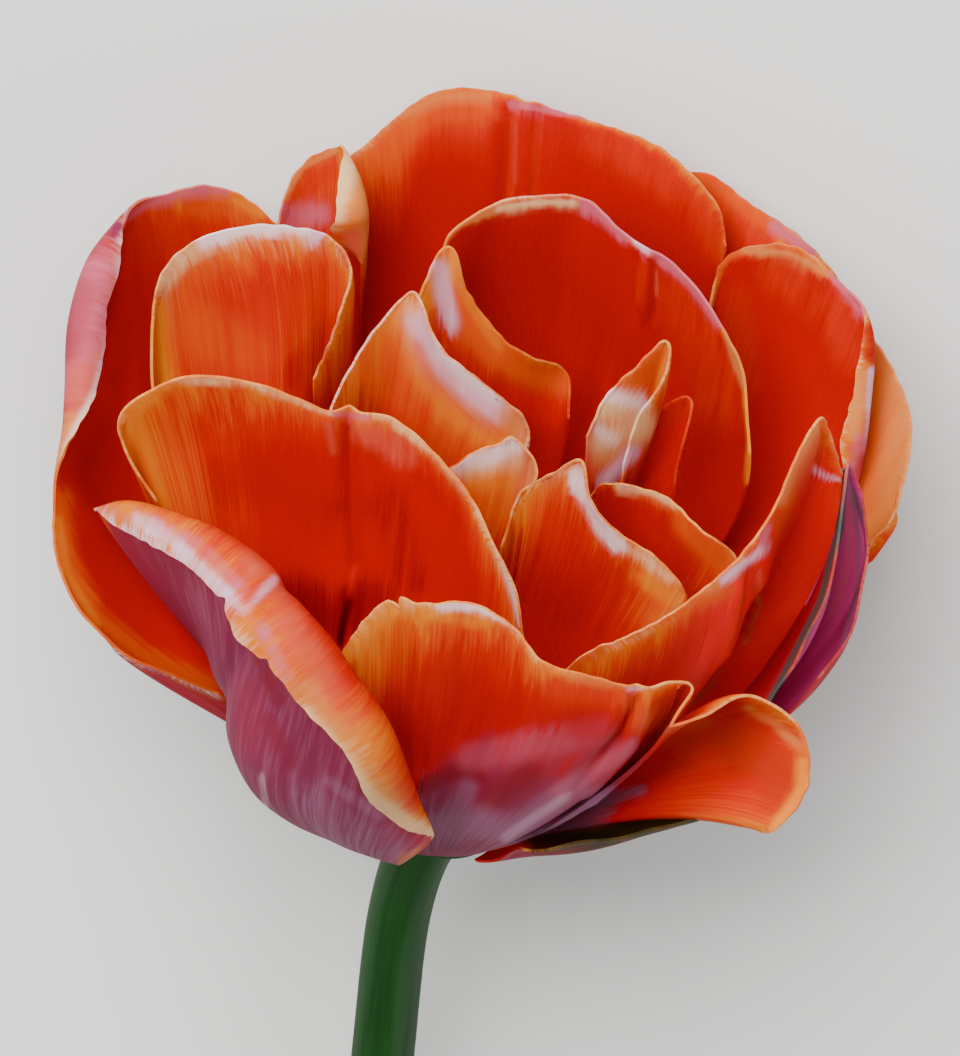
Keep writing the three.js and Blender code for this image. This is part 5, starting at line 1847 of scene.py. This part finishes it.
@dataclass
class Lamp:
    """A soft square light: the way to it from the bloom, its distance and side in metres, and its watts."""

    name: str
    direction: Point
    distance: float
    size: float
    power: float
    aim: Point = (0, 0.13, 0.03)

    def build(self) -> None:
        """Adds the light, which looks at the bloom."""
        data = bpy.data.lights.new(self.name, "AREA")
        data.size = self.size
        data.energy = self.power
        lamp = bpy.data.objects.new(self.name, data)
        bpy.context.scene.collection.objects.link(lamp)
        away = Vector(self.direction).normalized()
        lamp.location = Vector(self.aim) + away * self.distance
        lamp.rotation_euler = away.to_track_quat("Z", "Y").to_euler()


@dataclass
class Studio:
    """A pale floor, soft lights and the camera in front of and above the bloom.

    The camera's distance and the view's height are in metres, and the point that it looks at is written as a
    margin point is.
    """

    camera_distance: float = 4.0
    view_height: float = 0.11116
    camera_pitch: float = math.radians(-23)
    camera_sight: float = 50
    aim_across: float = 4.53
    aim_up: float = 29.26
    aim_height: float = 38.0
    lamps: Tuple[Lamp, ...] = (
        Lamp("sky", (-0.2, 0.72, 0.7), 1.4, 1.0, 52),
        Lamp("left_fill", (-0.9, 0.1, 0.6), 1.5, 0.9, 9),
        Lamp("front_fill", (0.9, -0.75, 0.6), 1.6, 1.0, 12),
    )
    haze: str = "#e9eef2"
    haze_strength: float = 0.6
    paper: str = "#d9d8d4"
    paper_roughness: float = 0.9
    floor_size: float = 6

    def camera(self) -> None:
        """Adds the camera, which looks down on the lying bloom as the photograph looks at the upright one."""
        data = bpy.data.cameras.new("camera")
        data.lens = data.sensor_width * self.camera_distance / self.view_height
        data.clip_end = self.camera_sight
        camera = bpy.data.objects.new("camera", data)
        bpy.context.scene.collection.objects.link(camera)
        aim = np.array([self.aim_across, self.aim_up / DRAWING_SLOPE - self.aim_height, self.aim_height])
        camera.rotation_euler = (self.camera_pitch, 0, 0)
        back = Matrix.Rotation(self.camera_pitch, 3, "X") @ Vector((0, 0, 1))
        camera.location = Vector(laid_down(aim) * MM) + back * self.camera_distance
        bpy.context.scene.camera = camera

    def floor(self) -> None:
        """Adds the plain pale floor."""
        bpy.ops.object.select_all(action="DESELECT")
        bpy.ops.mesh.primitive_plane_add(size=self.floor_size, location=(0, 0, 0))
        plane = bpy.context.active_object
        plane.name = "floor"
        paper, tree = new_material("matt_paper")
        matt = {"Base Color": linear(self.paper), "Roughness": self.paper_roughness}
        shader = add_node(tree, "ShaderNodeBsdfPrincipled", matt)
        add_node(tree, "ShaderNodeOutputMaterial", links={"Surface": shader})
        plane.data.materials.append(paper)

    def build(self) -> None:
        """Sets up the camera, the floor, the lights and the faint light from all round."""
        self.camera()
        self.floor()
        for lamp in self.lamps:
            lamp.build()
        world = bpy.data.worlds.new("studio")
        world.use_nodes = True
        around = world.node_tree.nodes["Background"].inputs
        around["Color"].default_value = linear(self.haze)
        around["Strength"].default_value = self.haze_strength
        bpy.context.scene.world = world


def main() -> None:
    """Builds the studio and the flower, and writes how large the model is."""
    logging.basicConfig(level=logging.INFO, format="%(message)s")
    Studio().build()
    stem = Stem()
    stem.build()
    Foliage().build(stem)
    Heart().build()
    Bloom().build()


if __name__ == "__main__":
    main()
